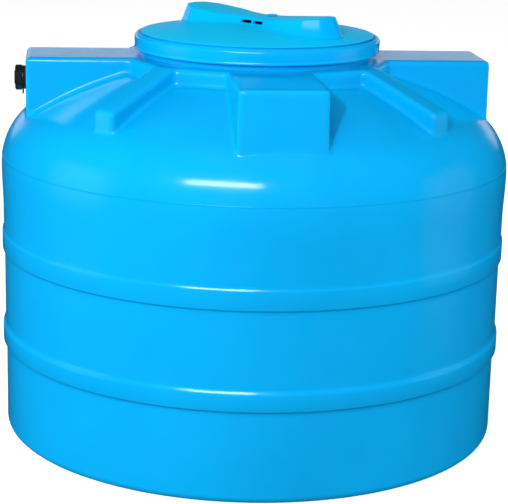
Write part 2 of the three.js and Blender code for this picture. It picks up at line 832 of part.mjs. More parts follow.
function rodScrew() {
  const from = rodRadius + touchGap;
  const seat = clampRadius + touchGap;
  const shank = turned(rod(screwRadius, from, seat + overrun), 16);
  const head = turned(
    [
      [0, seat],
      [screwHeadRadius, seat],
      [screwHeadRadius, seat + screwHeadHeight - screwHeadChamfer],
      [screwHeadRadius - screwHeadChamfer, seat + screwHeadHeight],
      [0, seat + screwHeadHeight],
    ],
    14,
  );
  return solidOf(shank).add(solidOf(head)).translate([screwAlong, 0, 0]);
}

function floatNearHalf() {
  const inner = floatRadius - floatWall;
  const innerBoss = floatBoss - floatBossRelief;
  const outerTurn = THREE.MathUtils.radToDeg(Math.acos(floatBoss / floatRadius));
  const innerTurn = THREE.MathUtils.radToDeg(Math.acos(innerBoss / inner));
  const bottom = -floatRadius - floatBossLength + floatSocket;
  const gap = touchGap / 2;
  const at = ([r, x]) => [r, Math.min(x, -gap) + floatAlong];
  const profile = [
    [0, bottom],
    [rodRadius + touchGap, bottom],
    [rodRadius + touchGap, -floatRadius - floatBossLength],
    [floatBoss, -floatRadius - floatBossLength],
    ...arc(0, 0, floatRadius, -outerTurn, 0, 6),
    ...arc(0, 0, inner, 0, -innerTurn, 5),
    [innerBoss, bottom + floatSocketFloor],
    [0, bottom + floatSocketFloor],
  ];
  return turnedOnX(profile.map(at), 24);
}

function floatFarHalf() {
  const gap = touchGap / 2;
  const at = ([r, x]) => [Math.max(r, 0), Math.max(x, gap) + floatAlong];
  const outer = arc(0, 0, floatRadius, 0, 90, 6).map(at);
  const inner = arc(0, 0, floatRadius - floatWall, 90, 0, 5).map(at);
  return turnedOnX([...outer, ...inner], 24);
}

// ---- Assembly ----

const tank = new THREE.Group();
tank.add(meshOf("tank_shell", tankShell(), tankBlue));
tank.add(meshOf("lid", lid(), lidBlue));
tank.add(meshOf("lid_gasket", lidGasket(), rubber));
tank.add(meshOf("breather_cap", breatherCap(), lidBlue));

const ringAt = (from) => tube(tailRadius + runGap, sealRadius, from, from + sealThickness);
const valve = new THREE.Group();
valve.position.set(-bossReach, 0, valveZ);
valve.add(meshOf("valve_body", valveBody(), blackPlastic));
valve.add(meshOf("outer_gasket", turnedOnX(ringAt(outerSealAt), 36), rubber));
valve.add(meshOf("inner_gasket", turnedOnX(ringAt(innerSealAt), 36), rubber));
valve.add(meshOf("tab_washer", tabWasher(), blackPlastic));
const locknut = hexNut(nutAcrossFlats, tailRadius + runGap, nutAt, nutAt + nutThickness);
valve.add(meshOf("inlet_locknut", locknut, blackPlastic));
valve.add(meshOf("inlet_strainer", strainer(), whitePlastic));
valve.add(meshOf("seat_nozzle", seatNozzle(), whitePlastic));
valve.add(meshOf("piston", piston(), whitePlastic));
valve.add(meshOf("piston_seal", pistonSeal(), rubber));
valve.add(meshOf("end_cap", endCap(), blackPlastic));
valve.add(meshOf("lever_pin", leverPin(), steel));
valve.add(meshOf("pin_clip", pinClip(), steel));
tank.add(valve);

const arm = new THREE.Group();
arm.position.set(pivotX, 0, -pivotDrop);
arm.rotation.y = radians(armDrop);
arm.add(meshOf("lever", lever(), blackPlastic));
arm.add(meshOf("float_rod", floatRod(), brass));
arm.add(meshOf("rod_screw", rodScrew(), brass));
const floatNutAt = bossEnd - touchGap - floatNutThickness;
const floatNut = hexNut(floatNutAcrossFlats, rodRadius + touchGap, floatNutAt, bossEnd - touchGap);
arm.add(meshOf("float_nut", floatNut, brass));
arm.add(meshOf("float_near_half", floatNearHalf(), floatRed));
arm.add(meshOf("float_far_half", floatFarHalf(), floatRed));
valve.add(arm);

export default tank;
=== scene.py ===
import json
from math import atan2, cos, hypot, pi, radians, sin, sqrt

import bmesh
import bpy
from mathutils import Matrix, Vector


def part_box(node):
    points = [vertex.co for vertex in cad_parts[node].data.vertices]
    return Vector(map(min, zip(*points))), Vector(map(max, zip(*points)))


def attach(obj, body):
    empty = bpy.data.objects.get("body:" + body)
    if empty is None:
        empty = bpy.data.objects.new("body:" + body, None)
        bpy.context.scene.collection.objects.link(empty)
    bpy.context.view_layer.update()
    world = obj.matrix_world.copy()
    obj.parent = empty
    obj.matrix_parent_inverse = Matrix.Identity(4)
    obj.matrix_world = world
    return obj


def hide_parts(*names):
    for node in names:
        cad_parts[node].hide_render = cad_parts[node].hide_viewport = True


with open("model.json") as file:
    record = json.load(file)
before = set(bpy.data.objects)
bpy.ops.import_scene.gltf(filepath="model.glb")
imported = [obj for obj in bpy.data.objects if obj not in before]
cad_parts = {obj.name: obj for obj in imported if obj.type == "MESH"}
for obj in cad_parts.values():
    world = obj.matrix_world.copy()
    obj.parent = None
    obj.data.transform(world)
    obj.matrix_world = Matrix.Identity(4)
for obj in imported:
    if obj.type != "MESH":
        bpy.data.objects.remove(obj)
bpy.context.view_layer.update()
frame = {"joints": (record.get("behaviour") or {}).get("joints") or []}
scene = bpy.context.scene
mm = 0.001


def deselectAll():
    if bpy.context.object and bpy.context.object.mode != "OBJECT":
        bpy.ops.object.mode_set(mode="OBJECT")
    bpy.ops.object.select_all(action="DESELECT")


def makeActive(piece):
    deselectAll()
    piece.hide_set(False)
    piece.select_set(True)
    bpy.context.view_layer.objects.active = piece


def editing(piece):
    makeActive(piece)
    bpy.ops.object.mode_set(mode="EDIT")
    bpy.ops.mesh.select_all(action="SELECT")


def leaveEditing():
    bpy.ops.object.mode_set(mode="OBJECT")


def fixPlace(piece):
    # the object goes to the origin and its place goes into the mesh
    makeActive(piece)
    bpy.ops.object.transform_apply(location=True, rotation=True, scale=True)
    return piece


def applyAll(piece):
    makeActive(piece)
    for modifier in list(piece.modifiers):
        bpy.ops.object.modifier_apply(modifier=modifier.name)
    return piece


def addObject(name, verts, edges=(), faces=()):
    mesh = bpy.data.meshes.new(name)
    mesh.from_pydata([tuple(v) for v in verts], list(edges), list(faces))
    piece = bpy.data.objects.new(name, mesh)
    scene.collection.objects.link(piece)
    return piece


def spun(name, profile, steps, closed=True):
    # a profile of (radius, height) in metres, closed on itself unless both its ends are on the axis
    onAxis = profile[0][0] < 1e-6 and profile[-1][0] < 1e-6
    last = len(profile) - 1
    links = [(i, i + 1) for i in range(last)]
    if closed and not onAxis:
        links.append((last, 0))
    piece = addObject(name, [(r, 0, z) for r, z in profile], links)
    editing(piece)
    bpy.ops.mesh.spin(steps=steps, angle=2 * pi, center=(0, 0, 0), axis=(0, 0, 1))
    bpy.ops.mesh.select_all(action="SELECT")
    bpy.ops.mesh.remove_doubles(threshold=1e-6)
    if closed:
        bpy.ops.mesh.select_all(action="SELECT")
        bpy.ops.mesh.normals_make_consistent(inside=False)
    leaveEditing()
    return piece


def turnToX(piece):
    # from standing on Z to lying along +X
    piece.data.transform(Matrix.Rotation(pi / 2, 4, "Y"))
    return piece


def cylinderOn(name, radius, low, high, vertices=48):
    deselectAll()
    depth = high - low
    bpy.ops.mesh.primitive_cylinder_add(
        vertices=vertices, radius=radius, depth=depth, location=(0, 0, (low + high) / 2)
    )
    piece = bpy.context.object
    piece.name = name
    return fixPlace(piece)


def cornerOnX(piece):
    # a prism turned on Z until its first corner lies on X
    first = piece.data.vertices[0].co
    piece.data.transform(Matrix.Rotation(-atan2(first.y, first.x), 4, "Z"))
    return piece


def block(name, low, high):
    deselectAll()
    low, high = Vector(low), Vector(high)
    bpy.ops.mesh.primitive_cube_add(size=1, location=(low + high) / 2)
    piece = bpy.context.object
    piece.name = name
    piece.scale = high - low
    return fixPlace(piece)


def blockOf(name, low, high):
    # corners in millimetres
    return block(name, *scaled([low, high]))


def plate(name, outline, half):
    # an outline in (x, z), extruded to both sides of Y = 0
    piece = addObject(name, [(x, -half, z) for x, z in outline], [], [tuple(range(len(outline)))])
    editing(piece)
    bpy.ops.mesh.extrude_region_move(TRANSFORM_OT_translate={"value": (0, 2 * half, 0)})
    bpy.ops.mesh.select_all(action="SELECT")
    bpy.ops.mesh.normals_make_consistent(inside=False)
    leaveEditing()
    return piece


def bevelled(piece, width, segments=3, angle=30):
    bevel = piece.modifiers.new("roundEdges", "BEVEL")
    bevel.width = width
    bevel.segments = segments
    bevel.limit_method = "ANGLE"
    bevel.angle_limit = radians(angle)
    return applyAll(piece)


def combine(piece, others, operation):
    for other in others:
        boolean = piece.modifiers.new("combine", "BOOLEAN")
        boolean.operation = operation
        boolean.solver = "MANIFOLD"
        boolean.object = other
    applyAll(piece)
    for other in others:
        bpy.data.objects.remove(other)
    return piece


def joinInto(piece, others):
    makeActive(piece)
    for other in others:
        other.select_set(True)
    bpy.ops.object.join()
    return piece


def remeshed(piece, voxel, rounds):
    remesh = piece.modifiers.new("remesh", "REMESH")
    remesh.mode = "VOXEL"
    remesh.voxel_size = voxel
    smooth = piece.modifiers.new("relax", "SMOOTH")
    smooth.iterations = rounds
    return applyAll(piece)


def copied(piece, name):
    twin = piece.copy()
    twin.data = piece.data.copy()
    twin.name = name
    scene.collection.objects.link(twin)
    return twin


def scaled(points):
    return [tuple(value * mm for value in point) for point in points]


def arc(centreR, centreZ, radius, start, end, steps):
    turns = [radians(start + (end - start) * i / steps) for i in range(steps + 1)]
    return [(centreR + radius * cos(t), centreZ + radius * sin(t)) for t in turns]


def smoothStep(low, high, steps):
    # an S from low to high, both (r, z), vertical at its two ends
    shares = [i / steps for i in range(steps + 1)]
    return [
        (low[0] + (high[0] - low[0]) * (3 * s * s - 2 * s ** 3), low[1] + (high[1] - low[1]) * s)
        for s in shares
    ]


def finished(piece, body, slot, node, angle=35):
    piece.data.materials.clear()
    piece.data.materials.append(materials[slot])
    makeActive(piece)
    bpy.ops.object.shade_smooth_by_angle(angle=radians(angle))
    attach(piece, body)
    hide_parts(node)


def newMaterial(name):
    material = bpy.data.materials.new(name)
    material.use_nodes = True
    tree = material.node_tree
    return material, tree, tree.nodes["Principled BSDF"]


def objectPlace(tree):
    return tree.nodes.new("ShaderNodeTexCoord").outputs["Object"]


def noise(tree, place, scale, detail=3, roughness=0.5):
    node = tree.nodes.new("ShaderNodeTexNoise")
    node.inputs["Scale"].default_value = scale
    node.inputs["Detail"].default_value = detail
    node.inputs["Roughness"].default_value = roughness
    tree.links.new(place, node.inputs["Vector"])
    return node.outputs["Fac"]


def ranged(tree, value, low, high, newLow, newHigh):
    node = tree.nodes.new("ShaderNodeMapRange")
    node.inputs["From Min"].default_value = low
    node.inputs["From Max"].default_value = high
    node.inputs["To Min"].default_value = newLow
    node.inputs["To Max"].default_value = newHigh
    tree.links.new(value, node.inputs["Value"])
    return node.outputs["Result"]


def blended(tree, share, first, second):
    node = tree.nodes.new("ShaderNodeMix")
    node.data_type = "RGBA"
    node.inputs[6].default_value = (*first, 1)
    node.inputs[7].default_value = (*second, 1)
    tree.links.new(share, node.inputs["Factor"])
    return node.outputs[2]


def bumped(tree, shader, heights):
    # heights: (value, strength, distance in metres), one on top of the other
    normal = None
    for value, strength, distance in heights:
        node = tree.nodes.new("ShaderNodeBump")
        node.inputs["Strength"].default_value = strength
        node.inputs["Distance"].default_value = distance
        tree.links.new(value, node.inputs["Height"])
        if normal:
            tree.links.new(normal, node.inputs["Normal"])
        normal = node.outputs["Normal"]
    tree.links.new(normal, shader.inputs["Normal"])


# noise: scale, detail and roughness; bumps: strength and depth in metres
skin = {
    "clouds": (5, 4, 0.55),
    "matt": (22, 5, 0.6),
    "waves": (9, 2, 0.4),
    "waveBump": (0.25, 0.0012),
    "pores": (260, 3, 0.5),
    "poreBump": (0.05, 0.0004),
    "grainBump": (0.15, 0.0003),
    "ior": 1.5,
}
# rotationally moulded polyethylene: a nearly even colour under a glossy skin with slow waves and fine
# pores, and on the lid a duller, matt texture on the faces that look up, coloured greener and lighter there:
# partly its own tone, partly painted light from above
polyethylene = {
    "tank": {"light": (0.000, 0.375, 0.800), "deep": (0.000, 0.348, 0.750), "roughness": (0.15, 0.20)},
    # on the lid, top is the colour of the faces that look up: a greener tone plus painted light, lighter
    # than the walls as if lit from above
    "lid": {"light": (0.000, 0.385, 0.820), "deep": (0.000, 0.358, 0.775), "roughness": (0.15, 0.20),
            "top": (0.000, 0.540, 0.930), "topRoughness": 0.42, "topFrom": 0.90, "topFull": 0.96,
            "dullFrom": 0.589, "dullFull": 0.593, "specular": (0.5, 0.08)},
}


def mattAndPaintedLightShare(tree, low, high):
    # 0 on the walls to 1 on the faces whose own normal points up; on the lid this share makes those faces
    # matt and paints them lighter, as painted light from above
    coordinates = tree.nodes.new("ShaderNodeTexCoord")
    parts = tree.nodes.new("ShaderNodeSeparateXYZ")
    tree.links.new(coordinates.outputs["Normal"], parts.inputs["Vector"])
    return ranged(tree, parts.outputs["Z"], low, high, 0, 1)


def polyethyleneMaterial(name, look):
    material, tree, shader = newMaterial(name)
    place = objectPlace(tree)
    cloud = noise(tree, place, *skin["clouds"])
    colour = blended(tree, ranged(tree, cloud, 0.35, 0.65, 0, 1), look["light"], look["deep"])
    matt = noise(tree, place, *skin["matt"])
    roughness = ranged(tree, matt, 0.3, 0.7, *look["roughness"])
    if "top" in look:
        # the faces that look up take the top colour: partly a greener tone, partly painted light that makes
        # them lighter than the walls as if lit from above
        top = mattAndPaintedLightShare(tree, look["topFrom"], look["topFull"])
        mix = tree.nodes.new("ShaderNodeMix")
        mix.data_type = "RGBA"
        mix.inputs[7].default_value = (*look["top"], 1)
        tree.links.new(colour, mix.inputs[6])
        tree.links.new(top, mix.inputs["Factor"])
        colour = mix.outputs[2]
        blend = tree.nodes.new("ShaderNodeMix")
        blend.inputs[3].default_value = look["topRoughness"]
        tree.links.new(roughness, blend.inputs[2])
        tree.links.new(top, blend.inputs["Factor"])
        roughness = blend.outputs[0]
        # the disc and the grip, which stand above the rim, mirror less
        parts = tree.nodes.new("ShaderNodeSeparateXYZ")
        tree.links.new(place, parts.inputs["Vector"])
        dull = ranged(tree, parts.outputs["Z"], look["dullFrom"], look["dullFull"], *look["specular"])
        tree.links.new(dull, shader.inputs["Specular IOR Level"])
    tree.links.new(colour, shader.inputs["Base Color"])
    tree.links.new(roughness, shader.inputs["Roughness"])
    bumped(tree, shader, [
        (noise(tree, place, *skin["waves"]), *skin["waveBump"]),
        (noise(tree, place, *skin["pores"]), *skin["poreBump"]),
    ])
    shader.inputs["IOR"].default_value = skin["ior"]
    return material


def plainMaterial(name, look):
    # light and deep colours, a range of roughness, the grain's scale, and metal or not
    material, tree, shader = newMaterial(name)
    place = objectPlace(tree)
    grain = noise(tree, place, look["grain"], 4, 0.6)
    cloud = noise(tree, place, look["grain"] / 12, 3, 0.5)
    tree.links.new(
        blended(tree, ranged(tree, cloud, 0.35, 0.65, 0, 1), look["light"], look["deep"]),
        shader.inputs["Base Color"],
    )
    tree.links.new(ranged(tree, grain, 0.3, 0.7, *look["roughness"]), shader.inputs["Roughness"])
    shader.inputs["Metallic"].default_value = look.get("metal", 0)
    bumped(tree, shader, [(grain, *skin["grainBump"])])
    return material


finishes = {
    "rubber_black": {"light": (0.018, 0.018, 0.019), "deep": (0.010, 0.010, 0.011),
                     "roughness": (0.6, 0.8), "grain": 900},
    "plastic_black": {"light": (0.012, 0.012, 0.013), "deep": (0.006, 0.006, 0.007),
                      "roughness": (0.32, 0.48), "grain": 1400},
    "plastic_white": {"light": (0.82, 0.81, 0.76), "deep": (0.74, 0.73, 0.68),
                      "roughness": (0.35, 0.45), "grain": 1200},
    "steel_bright": {"light": (0.62, 0.63, 0.65), "deep": (0.50, 0.51, 0.53),
                     "roughness": (0.22, 0.38), "grain": 1600, "metal": 1},
    "brass_rod": {"light": (0.72, 0.46, 0.16), "deep": (0.58, 0.35, 0.11),
                  "roughness": (0.22, 0.38), "grain": 1500, "metal": 1},
    "float_orange": {"light": (0.74, 0.12, 0.03), "deep": (0.62, 0.09, 0.02),
                     "roughness": (0.32, 0.44), "grain": 700},
}
materials = {name: plainMaterial(name, look) for name, look in finishes.items()}
materials["tank_blue"] = polyethyleneMaterial("tank_blue", polyethylene["tank"])
materials["lid_blue"] = polyethyleneMaterial("lid_blue", polyethylene["lid"])
print("materials made")


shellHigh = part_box("tank_shell")[1]
nutLow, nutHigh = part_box("inlet_locknut")
tank = {
    "radius": shellHigh.x,
    "neckTop": shellHigh.z,
    "wall": 5 * mm,
    "baseInset": 5 * mm,
    "middleInset": 3.5 * mm,
    "upperInset": 2 * mm,
    "baseRound": 12 * mm,
    "baseRing": 60 * mm,
    "bands": (131 * mm, 271 * mm),
    "bandStep": 3 * mm,
    "bandHeight": 33 * mm,
    "bandSlopes": (8.25 * mm, 5.2 * mm),
    "bandLead": 6 * mm,
    "bandEase": 0.5 * mm,
    "swellStart": 60 * mm,
    "swellEnd": 4 * mm,
    "shoulderZ": 400 * mm,
    "shoulderRadius": 96 * mm,
    "shoulderTurn": 59,
    "domeRadius": 560 * mm,
    "domeTurn": 13.3,
    "seamZ": 413 * mm,
    "seamProud": 0.35 * mm,
    "seamHalf": 0.5 * mm,
    "seamLead": (3 * mm, 0.9 * mm),
    "overlap": 25 * mm,
    "hole": 10.8 * mm,
    "sides": 192,
    "voxel": 3.1 * mm,
    "relax": 2,
}
platform = {
    "top": tank["neckTop"] - 20.5 * mm,
    "apothem": 196.5 * mm,
    "depth": 60 * mm,
    "round": 7 * mm,
}
boss = {
    "reach": tank["radius"] - 37 * mm,
    "start": 181 * mm,
    "halfWidth": 60 * mm,
    "draft": 2 * mm,
    "round": 5.5 * mm,
    "depth": 112 * mm,
}
rib = {
    "start": 181 * mm,
    "slopeStart": 208 * mm,
    "reach": tank["radius"] - 46 * mm,
    "fall": 47.5 * mm,
    "halfWidth": 18.7 * mm,
    "depth": 110 * mm,
    "round": 5 * mm,
}
neck = {
    "outer": 171.2 * mm,
    "inner": 166 * mm,
    "sunk": 10 * mm,
    "ridge": 3.8 * mm,
    "ridgeHalf": 1.5 * mm,
    "ridgeFoot": 8.5 * mm,
    "crestShare": 0.55,
    "pitch": 10 * mm,
    "turn": 350,
    "stepTurn": 5,
}
valveAxis = Vector((-boss["reach"], 0, (nutLow.z + nutHigh.z) / 2))


def onValve(piece):
    # the piece's own Z runs inwards along the valve
    piece.data.transform(Matrix.Translation(valveAxis) @ Matrix.Rotation(pi / 2, 4, "Y"))
    return piece


def domeProfile(inset, shoulderSteps, domeSteps):
    # the shoulder's arc and then the flatter dome, sunk by the inset
    centreR = tank["radius"] - tank["shoulderRadius"]
    shoulder = arc(centreR, tank["shoulderZ"], tank["shoulderRadius"] - inset,
                   0, tank["shoulderTurn"], shoulderSteps)
    turn = radians(tank["shoulderTurn"])
    further = tank["domeRadius"] - tank["shoulderRadius"]
    dome = arc(centreR - further * cos(turn), tank["shoulderZ"] - further * sin(turn),
               tank["domeRadius"] - inset, tank["shoulderTurn"],
               tank["shoulderTurn"] + tank["domeTurn"], domeSteps)
    return shoulder + dome[1:]


def seamRadius(z):
    rise = z - tank["shoulderZ"]
    return tank["radius"] - tank["shoulderRadius"] + sqrt(tank["shoulderRadius"] ** 2 - rise ** 2)


def lowerProfile():
    # from the middle of the base up the wall to the upper edge of the seam
    full = tank["radius"]
    base = full - tank["baseInset"]
    middle = full - tank["middleInset"]
    upper = full - tank["upperInset"]
    edge = tank["baseRound"]
    points = [(0, 0), (base - edge - tank["baseRing"], 0)]
    points += arc(base - edge, edge, edge, -90, 0, 8)
    walls = ((base, middle), (middle, upper))
    lead, ease = tank["bandLead"], tank["bandEase"]
    for z, slope, (below, above) in zip(tank["bands"], tank["bandSlopes"], walls):
        top = z + tank["bandHeight"]
        points.append((below, z - lead))
        points += smoothStep((below, z - ease), (full, z + tank["bandStep"] + ease), 7)
        points += smoothStep((full, top - slope), (above, top), 8)
        points.append((above, top + lead))
    swellTop = tank["shoulderZ"] - tank["swellEnd"]
    points += smoothStep((upper, tank["bands"][1] + tank["swellStart"]), (full, swellTop), 8)
    seam = tank["seamZ"]
    for z in (tank["shoulderZ"] + tank["swellEnd"], *(seam - lead for lead in tank["seamLead"])):
        points.append((seamRadius(z), z))
    proud, half = tank["seamProud"], tank["seamHalf"]
    for z, out in ((seam - half, proud), (seam + half / 5, proud), (seam + half, 0)):
        points.append((seamRadius(z) + out, z))
    return points


def innerProfile():
    inside = tank["radius"] - tank["baseInset"] - tank["wall"]
    edge = tank["baseRound"] - tank["wall"] / 2
    points = [(0, tank["wall"])]
    points += arc(inside - edge, tank["wall"] + edge, edge, -90, 0, 3)
    points += [(inside, tank["bands"][1] + tank["bandHeight"])]
    points += domeProfile(tank["wall"], 8, 4)
    points += [(0, platform["top"] - 3 * platform["round"])]
    return points


def platformBlock(inset):
    corner = (platform["apothem"] - inset) / cos(pi / 8)
    top = platform["top"] - inset
    piece = cylinderOn("platform", corner, top - platform["depth"], top, 8)
    return bevelled(cornerOnX(piece), platform["round"], 4, 40)


def bossBlock(inset):
    half = boss["halfWidth"] - inset
    top = platform["top"] - inset
    low = top - boss["depth"]
    piece = block("boss", (boss["start"], -half, low), (boss["reach"] - inset, half, top))
    for vertex in piece.data.vertices:
        if vertex.co.z < top - boss["depth"] / 2:
            vertex.co.y += boss["draft"] if vertex.co.y > 0 else -boss["draft"]
    return bevelled(piece, boss["round"] - inset, 4)


def ribBlock(inset):
    half = rib["halfWidth"] - inset
    top = platform["top"] - inset
    low = top - rib["depth"]
    reach = rib["reach"] - inset
    side = [(rib["start"], low), (reach, low), (reach, top - rib["fall"]),
            (rib["slopeStart"] - inset, top), (rib["start"], top)]
    piece = plate("rib", side, half)
    return bevelled(piece, max(rib["round"] - inset, 1 * mm), 3)


def aroundTank(make, inset, startTurn):
    first = make(inset)
    first.data.transform(Matrix.Rotation(startTurn, 4, "Z"))
    others = []
    for quarter in (1, 2, 3):
        twin = copied(first, first.name)
        twin.data.transform(Matrix.Rotation(quarter * pi / 2, 4, "Z"))
        others.append(twin)
    return [first, *others]


def raisedShapes(inset):
    bosses, ribs = aroundTank(bossBlock, inset, 0), aroundTank(ribBlock, inset, pi / 4)
    return [platformBlock(inset), *bosses, *ribs]


def threadRidge(root, crest, half, fromTurn, turn, startZ):
    # sections set round Z and raised by the pitch in each turn
    steps = int(turn / neck["stepTurn"])
    narrow = half * neck["crestShare"]
    section = [(root, -half), (crest, -narrow), (crest, narrow), (root, half)]
    verts = []
    for i in range(steps + 1):
        degree = fromTurn + turn * i / steps
        angle = radians(degree)
        for r, z in section:
            verts.append((r * cos(angle), r * sin(angle), startZ + z + neck["pitch"] * degree / 360))
    faces = [(0, 1, 2, 3), tuple(steps * 4 + i for i in (3, 2, 1, 0))]
    for i in range(steps):
        for j in range(4):
            k = (j + 1) % 4
            faces.append((i * 4 + j, i * 4 + k, i * 4 + 4 + k, i * 4 + 4 + j))
    piece = addObject("ridge", verts, [], faces)
    editing(piece)
    bpy.ops.mesh.normals_make_consistent(inside=False)
    leaveEditing()
    return piece


def upperShell():
    # dome, platform, bosses and ribs melted into one soft moulding, then cut off at the seam
    low = tank["seamZ"] - tank["overlap"]
    profile = [(0, low), (tank["radius"], low), (tank["radius"], tank["shoulderZ"])]
    profile += domeProfile(0, 24, 10)[1:] + [(0, platform["top"] - 3 * platform["round"])]
    piece = spun("tankShell", profile, tank["sides"])
    combine(piece, raisedShapes(0), "UNION")
    remeshed(piece, tank["voxel"], tank["relax"])
    neckStart = platform["top"] - neck["sunk"]
    combine(piece, [cylinderOn("neck", neck["outer"], neckStart, tank["neckTop"], 128)], "UNION")
    editing(piece)
    seam = tank["seamZ"] + tank["seamHalf"]
    bpy.ops.mesh.bisect(plane_co=(0, 0, seam), plane_no=(0, 0, 1), clear_inner=True, use_fill=False)
    leaveEditing()
    return piece


def boundaryOnly(piece, z):
    # selects the open edges of a piece at one height
    near = 0.2 * mm
    mesh = bmesh.from_edit_mesh(piece.data)
    mesh.select_mode = {"EDGE"}
    for face in mesh.faces:
        face.select = False
    for edge in mesh.edges:
        edge.select = edge.is_boundary and abs(edge.verts[0].co.z - z) < near
    mesh.select_flush_mode()
    bmesh.update_edit_mesh(piece.data)


def makeTank():
    shell = upperShell()
    lower = spun("lowerShell", lowerProfile(), tank["sides"], closed=False)
    joinInto(shell, [lower])
    editing(shell)
    bpy.ops.mesh.select_mode(type="EDGE")
    boundaryOnly(shell, tank["seamZ"] + tank["seamHalf"])
    bpy.ops.mesh.bridge_edge_loops()
    bpy.ops.mesh.select_all(action="SELECT")
    bpy.ops.mesh.normals_make_consistent(inside=False)
    leaveEditing()
    print("outer skin made")
    ridge = threadRidge(neck["outer"] - 2 * mm, neck["outer"] + neck["ridge"], neck["ridgeHalf"],
                        0, neck["turn"], platform["top"] + neck["ridgeFoot"])
    combine(shell, [ridge], "UNION")
    hollow = spun("hollow", innerProfile(), 96)
    mouth = cylinderOn("mouth", neck["inner"], platform["top"] - platform["depth"],
                       tank["neckTop"] + tank["wall"], 128)
    combine(hollow, [*raisedShapes(tank["wall"]), mouth], "UNION")
    hole = onValve(cylinderOn("hole", tank["hole"], -2 * tank["wall"], 2 * tank["wall"]))
    combine(shell, [hollow, hole], "DIFFERENCE")
    finished(shell, "tank", "tank_blue", "tank_shell", 50)
    print("tank shell made:", len(shell.data.polygons), "faces")


makeTank()


lidLow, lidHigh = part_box("lid")
gasketLow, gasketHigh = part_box("lid_gasket")
lid = {
    "radius": lidHigh.x,
    "skirt": 3.5 * mm,
    "bottom": lidLow.z,
    "shoulder": lidLow.z + 22.5 * mm,
    "bottomRound": 2.4 * mm,
    "edgeRound": 6 * mm,
    "discRadius": lidHigh.x - 9 * mm,
    "groove": 2.2 * mm,
    "discLip": 1.8 * mm,
    "cornerRound": 0.8 * mm,
    "fineRound": 0.5 * mm,
    "lipFade": (0.2 * mm, 1.6 * mm),
    "discEdge": lidLow.z + 25 * mm,
    "rise": 14 * mm,
    "thickness": 5 * mm,
    "underside": gasketHigh.z + 0.3 * mm,
    "spigot": (160.4 * mm, 163.6 * mm),
    "spigotDepth": 6 * mm,
    "thread": {"root": 178.5 * mm, "crest": 172.7 * mm, "from": 165, "turn": 340, "below": 3.6 * mm},
    "sides": 192,
}
grip = {
    "turn": -46,
    "shift": 4 * mm,
    "halfLength": 132 * mm,
    "outline": [(0, 21), (0.21, 24), (0.42, 33), (0.62, 34.5), (0.77, 33), (0.83, 29), (0.96, 17.5),
                (0.99, 9)],
    "draft": 10 * mm,
    "draftFoot": 592 * mm,
    "draftTop": 626 * mm,
    "middle": 616.5 * mm,
    "endRise": 8.45 * mm,
    "foot": 587 * mm,
    "wall": 4 * mm,
    "topRound": 3.4 * mm,
    "footRound": 4.5 * mm,
    "sunk": 0.35 * mm,
    "rootDepth": 2 * mm,
    "slots": {"length": 20, "height": 4.5, "along": (-3.5, 19.5), "across": (-120, -4), "z": 609.5,
              "round": 1 * mm},
}
breather = {
    "along": 15 * mm,
    "across": 10 * mm,
    "radius": 8 * mm,
    "stem": 3.6 * mm,
    "play": 0.4 * mm,
    "tip": 0.8 * mm,
    "head": 2.4 * mm,
    "crown": 0.8 * mm,
    "lowRound": 0.5 * mm,
    "topRound": 1 * mm,
    "notches": {"count": 10, "radius": 0.55 * mm, "below": 0.5 * mm, "above": 0.9 * mm},
}
lidGasket = {"inner": 164.6 * mm, "outer": 172.6 * mm, "round": 0.7 * mm}


def discHeight(r):
    return lid["discEdge"] + lid["rise"] * (1 - (r / lid["discRadius"]) ** 2)


def lidProfile():
    outer, inner = lid["radius"], lid["radius"] - lid["skirt"]
    low, top = lid["bottom"], lid["shoulder"]
    edge, lip = lid["edgeRound"], lid["bottomRound"]
    disc, groove, edgeZ = lid["discRadius"], lid["groove"], lid["discEdge"]
    corner, fine = lid["cornerRound"], lid["fineRound"]
    fadeLow, fadeHigh = (low + 2 * lip + rise for rise in lid["lipFade"])
    points = arc(inner + corner, low + corner, corner, 180, 270, 3)
    points += arc(outer - lip, low + lip, lip, -90, 30, 7)
    points += [(outer - corner, fadeLow), (outer - fine, fadeHigh)]
    points += arc(outer - edge, top - edge, edge, 0, 90, 8)
    points += arc(disc + groove + fine, top - fine, fine, 90, 180, 3)
    under = disc - lid["discLip"]
    points += [(disc + groove, top - groove), (under, top - groove), (under, edgeZ - 2.2 * fine)]
    points += arc(disc - fine, edgeZ - 1.1 * fine, fine, -70, 80, 5)
    shares = (0.97, 0.94, 0.9, 0.85, 0.8, 0.7, 0.6, 0.5, 0.4, 0.3, 0.2, 0.1, 0)
    points += [(disc * share, discHeight(disc * share)) for share in shares]
    seatInner = lid["spigot"][0] - 2 * mm
    points += [(seatInner * share, discHeight(seatInner * share) - lid["thickness"])
               for share in (0, 0.2, 0.4, 0.6, 0.8, 0.9, 1)]
    seat, deep = lid["underside"], lid["underside"] - lid["spigotDepth"]
    near, far = lid["spigot"]
    points += [(seatInner, seat), (near, seat), (near, deep + corner), (near + corner, deep),
               (far - corner, deep), (far, deep + corner), (far, seat), (inner, seat)]
    return points


def smoothLoop(points, steps):
    # a closed Catmull-Rom line through the points
    count = len(points)
    loop = []
    for i in range(count):
        a, b, c, d = (Vector(points[(i + k) % count]) for k in (-1, 0, 1, 2))
        for j in range(steps):
            t = j / steps
            loop.append(0.5 * (2 * b + (c - a) * t + (2 * a - 5 * b + 4 * c - d) * t * t
                               + (3 * b - a - 3 * c + d) * t ** 3))
    return loop


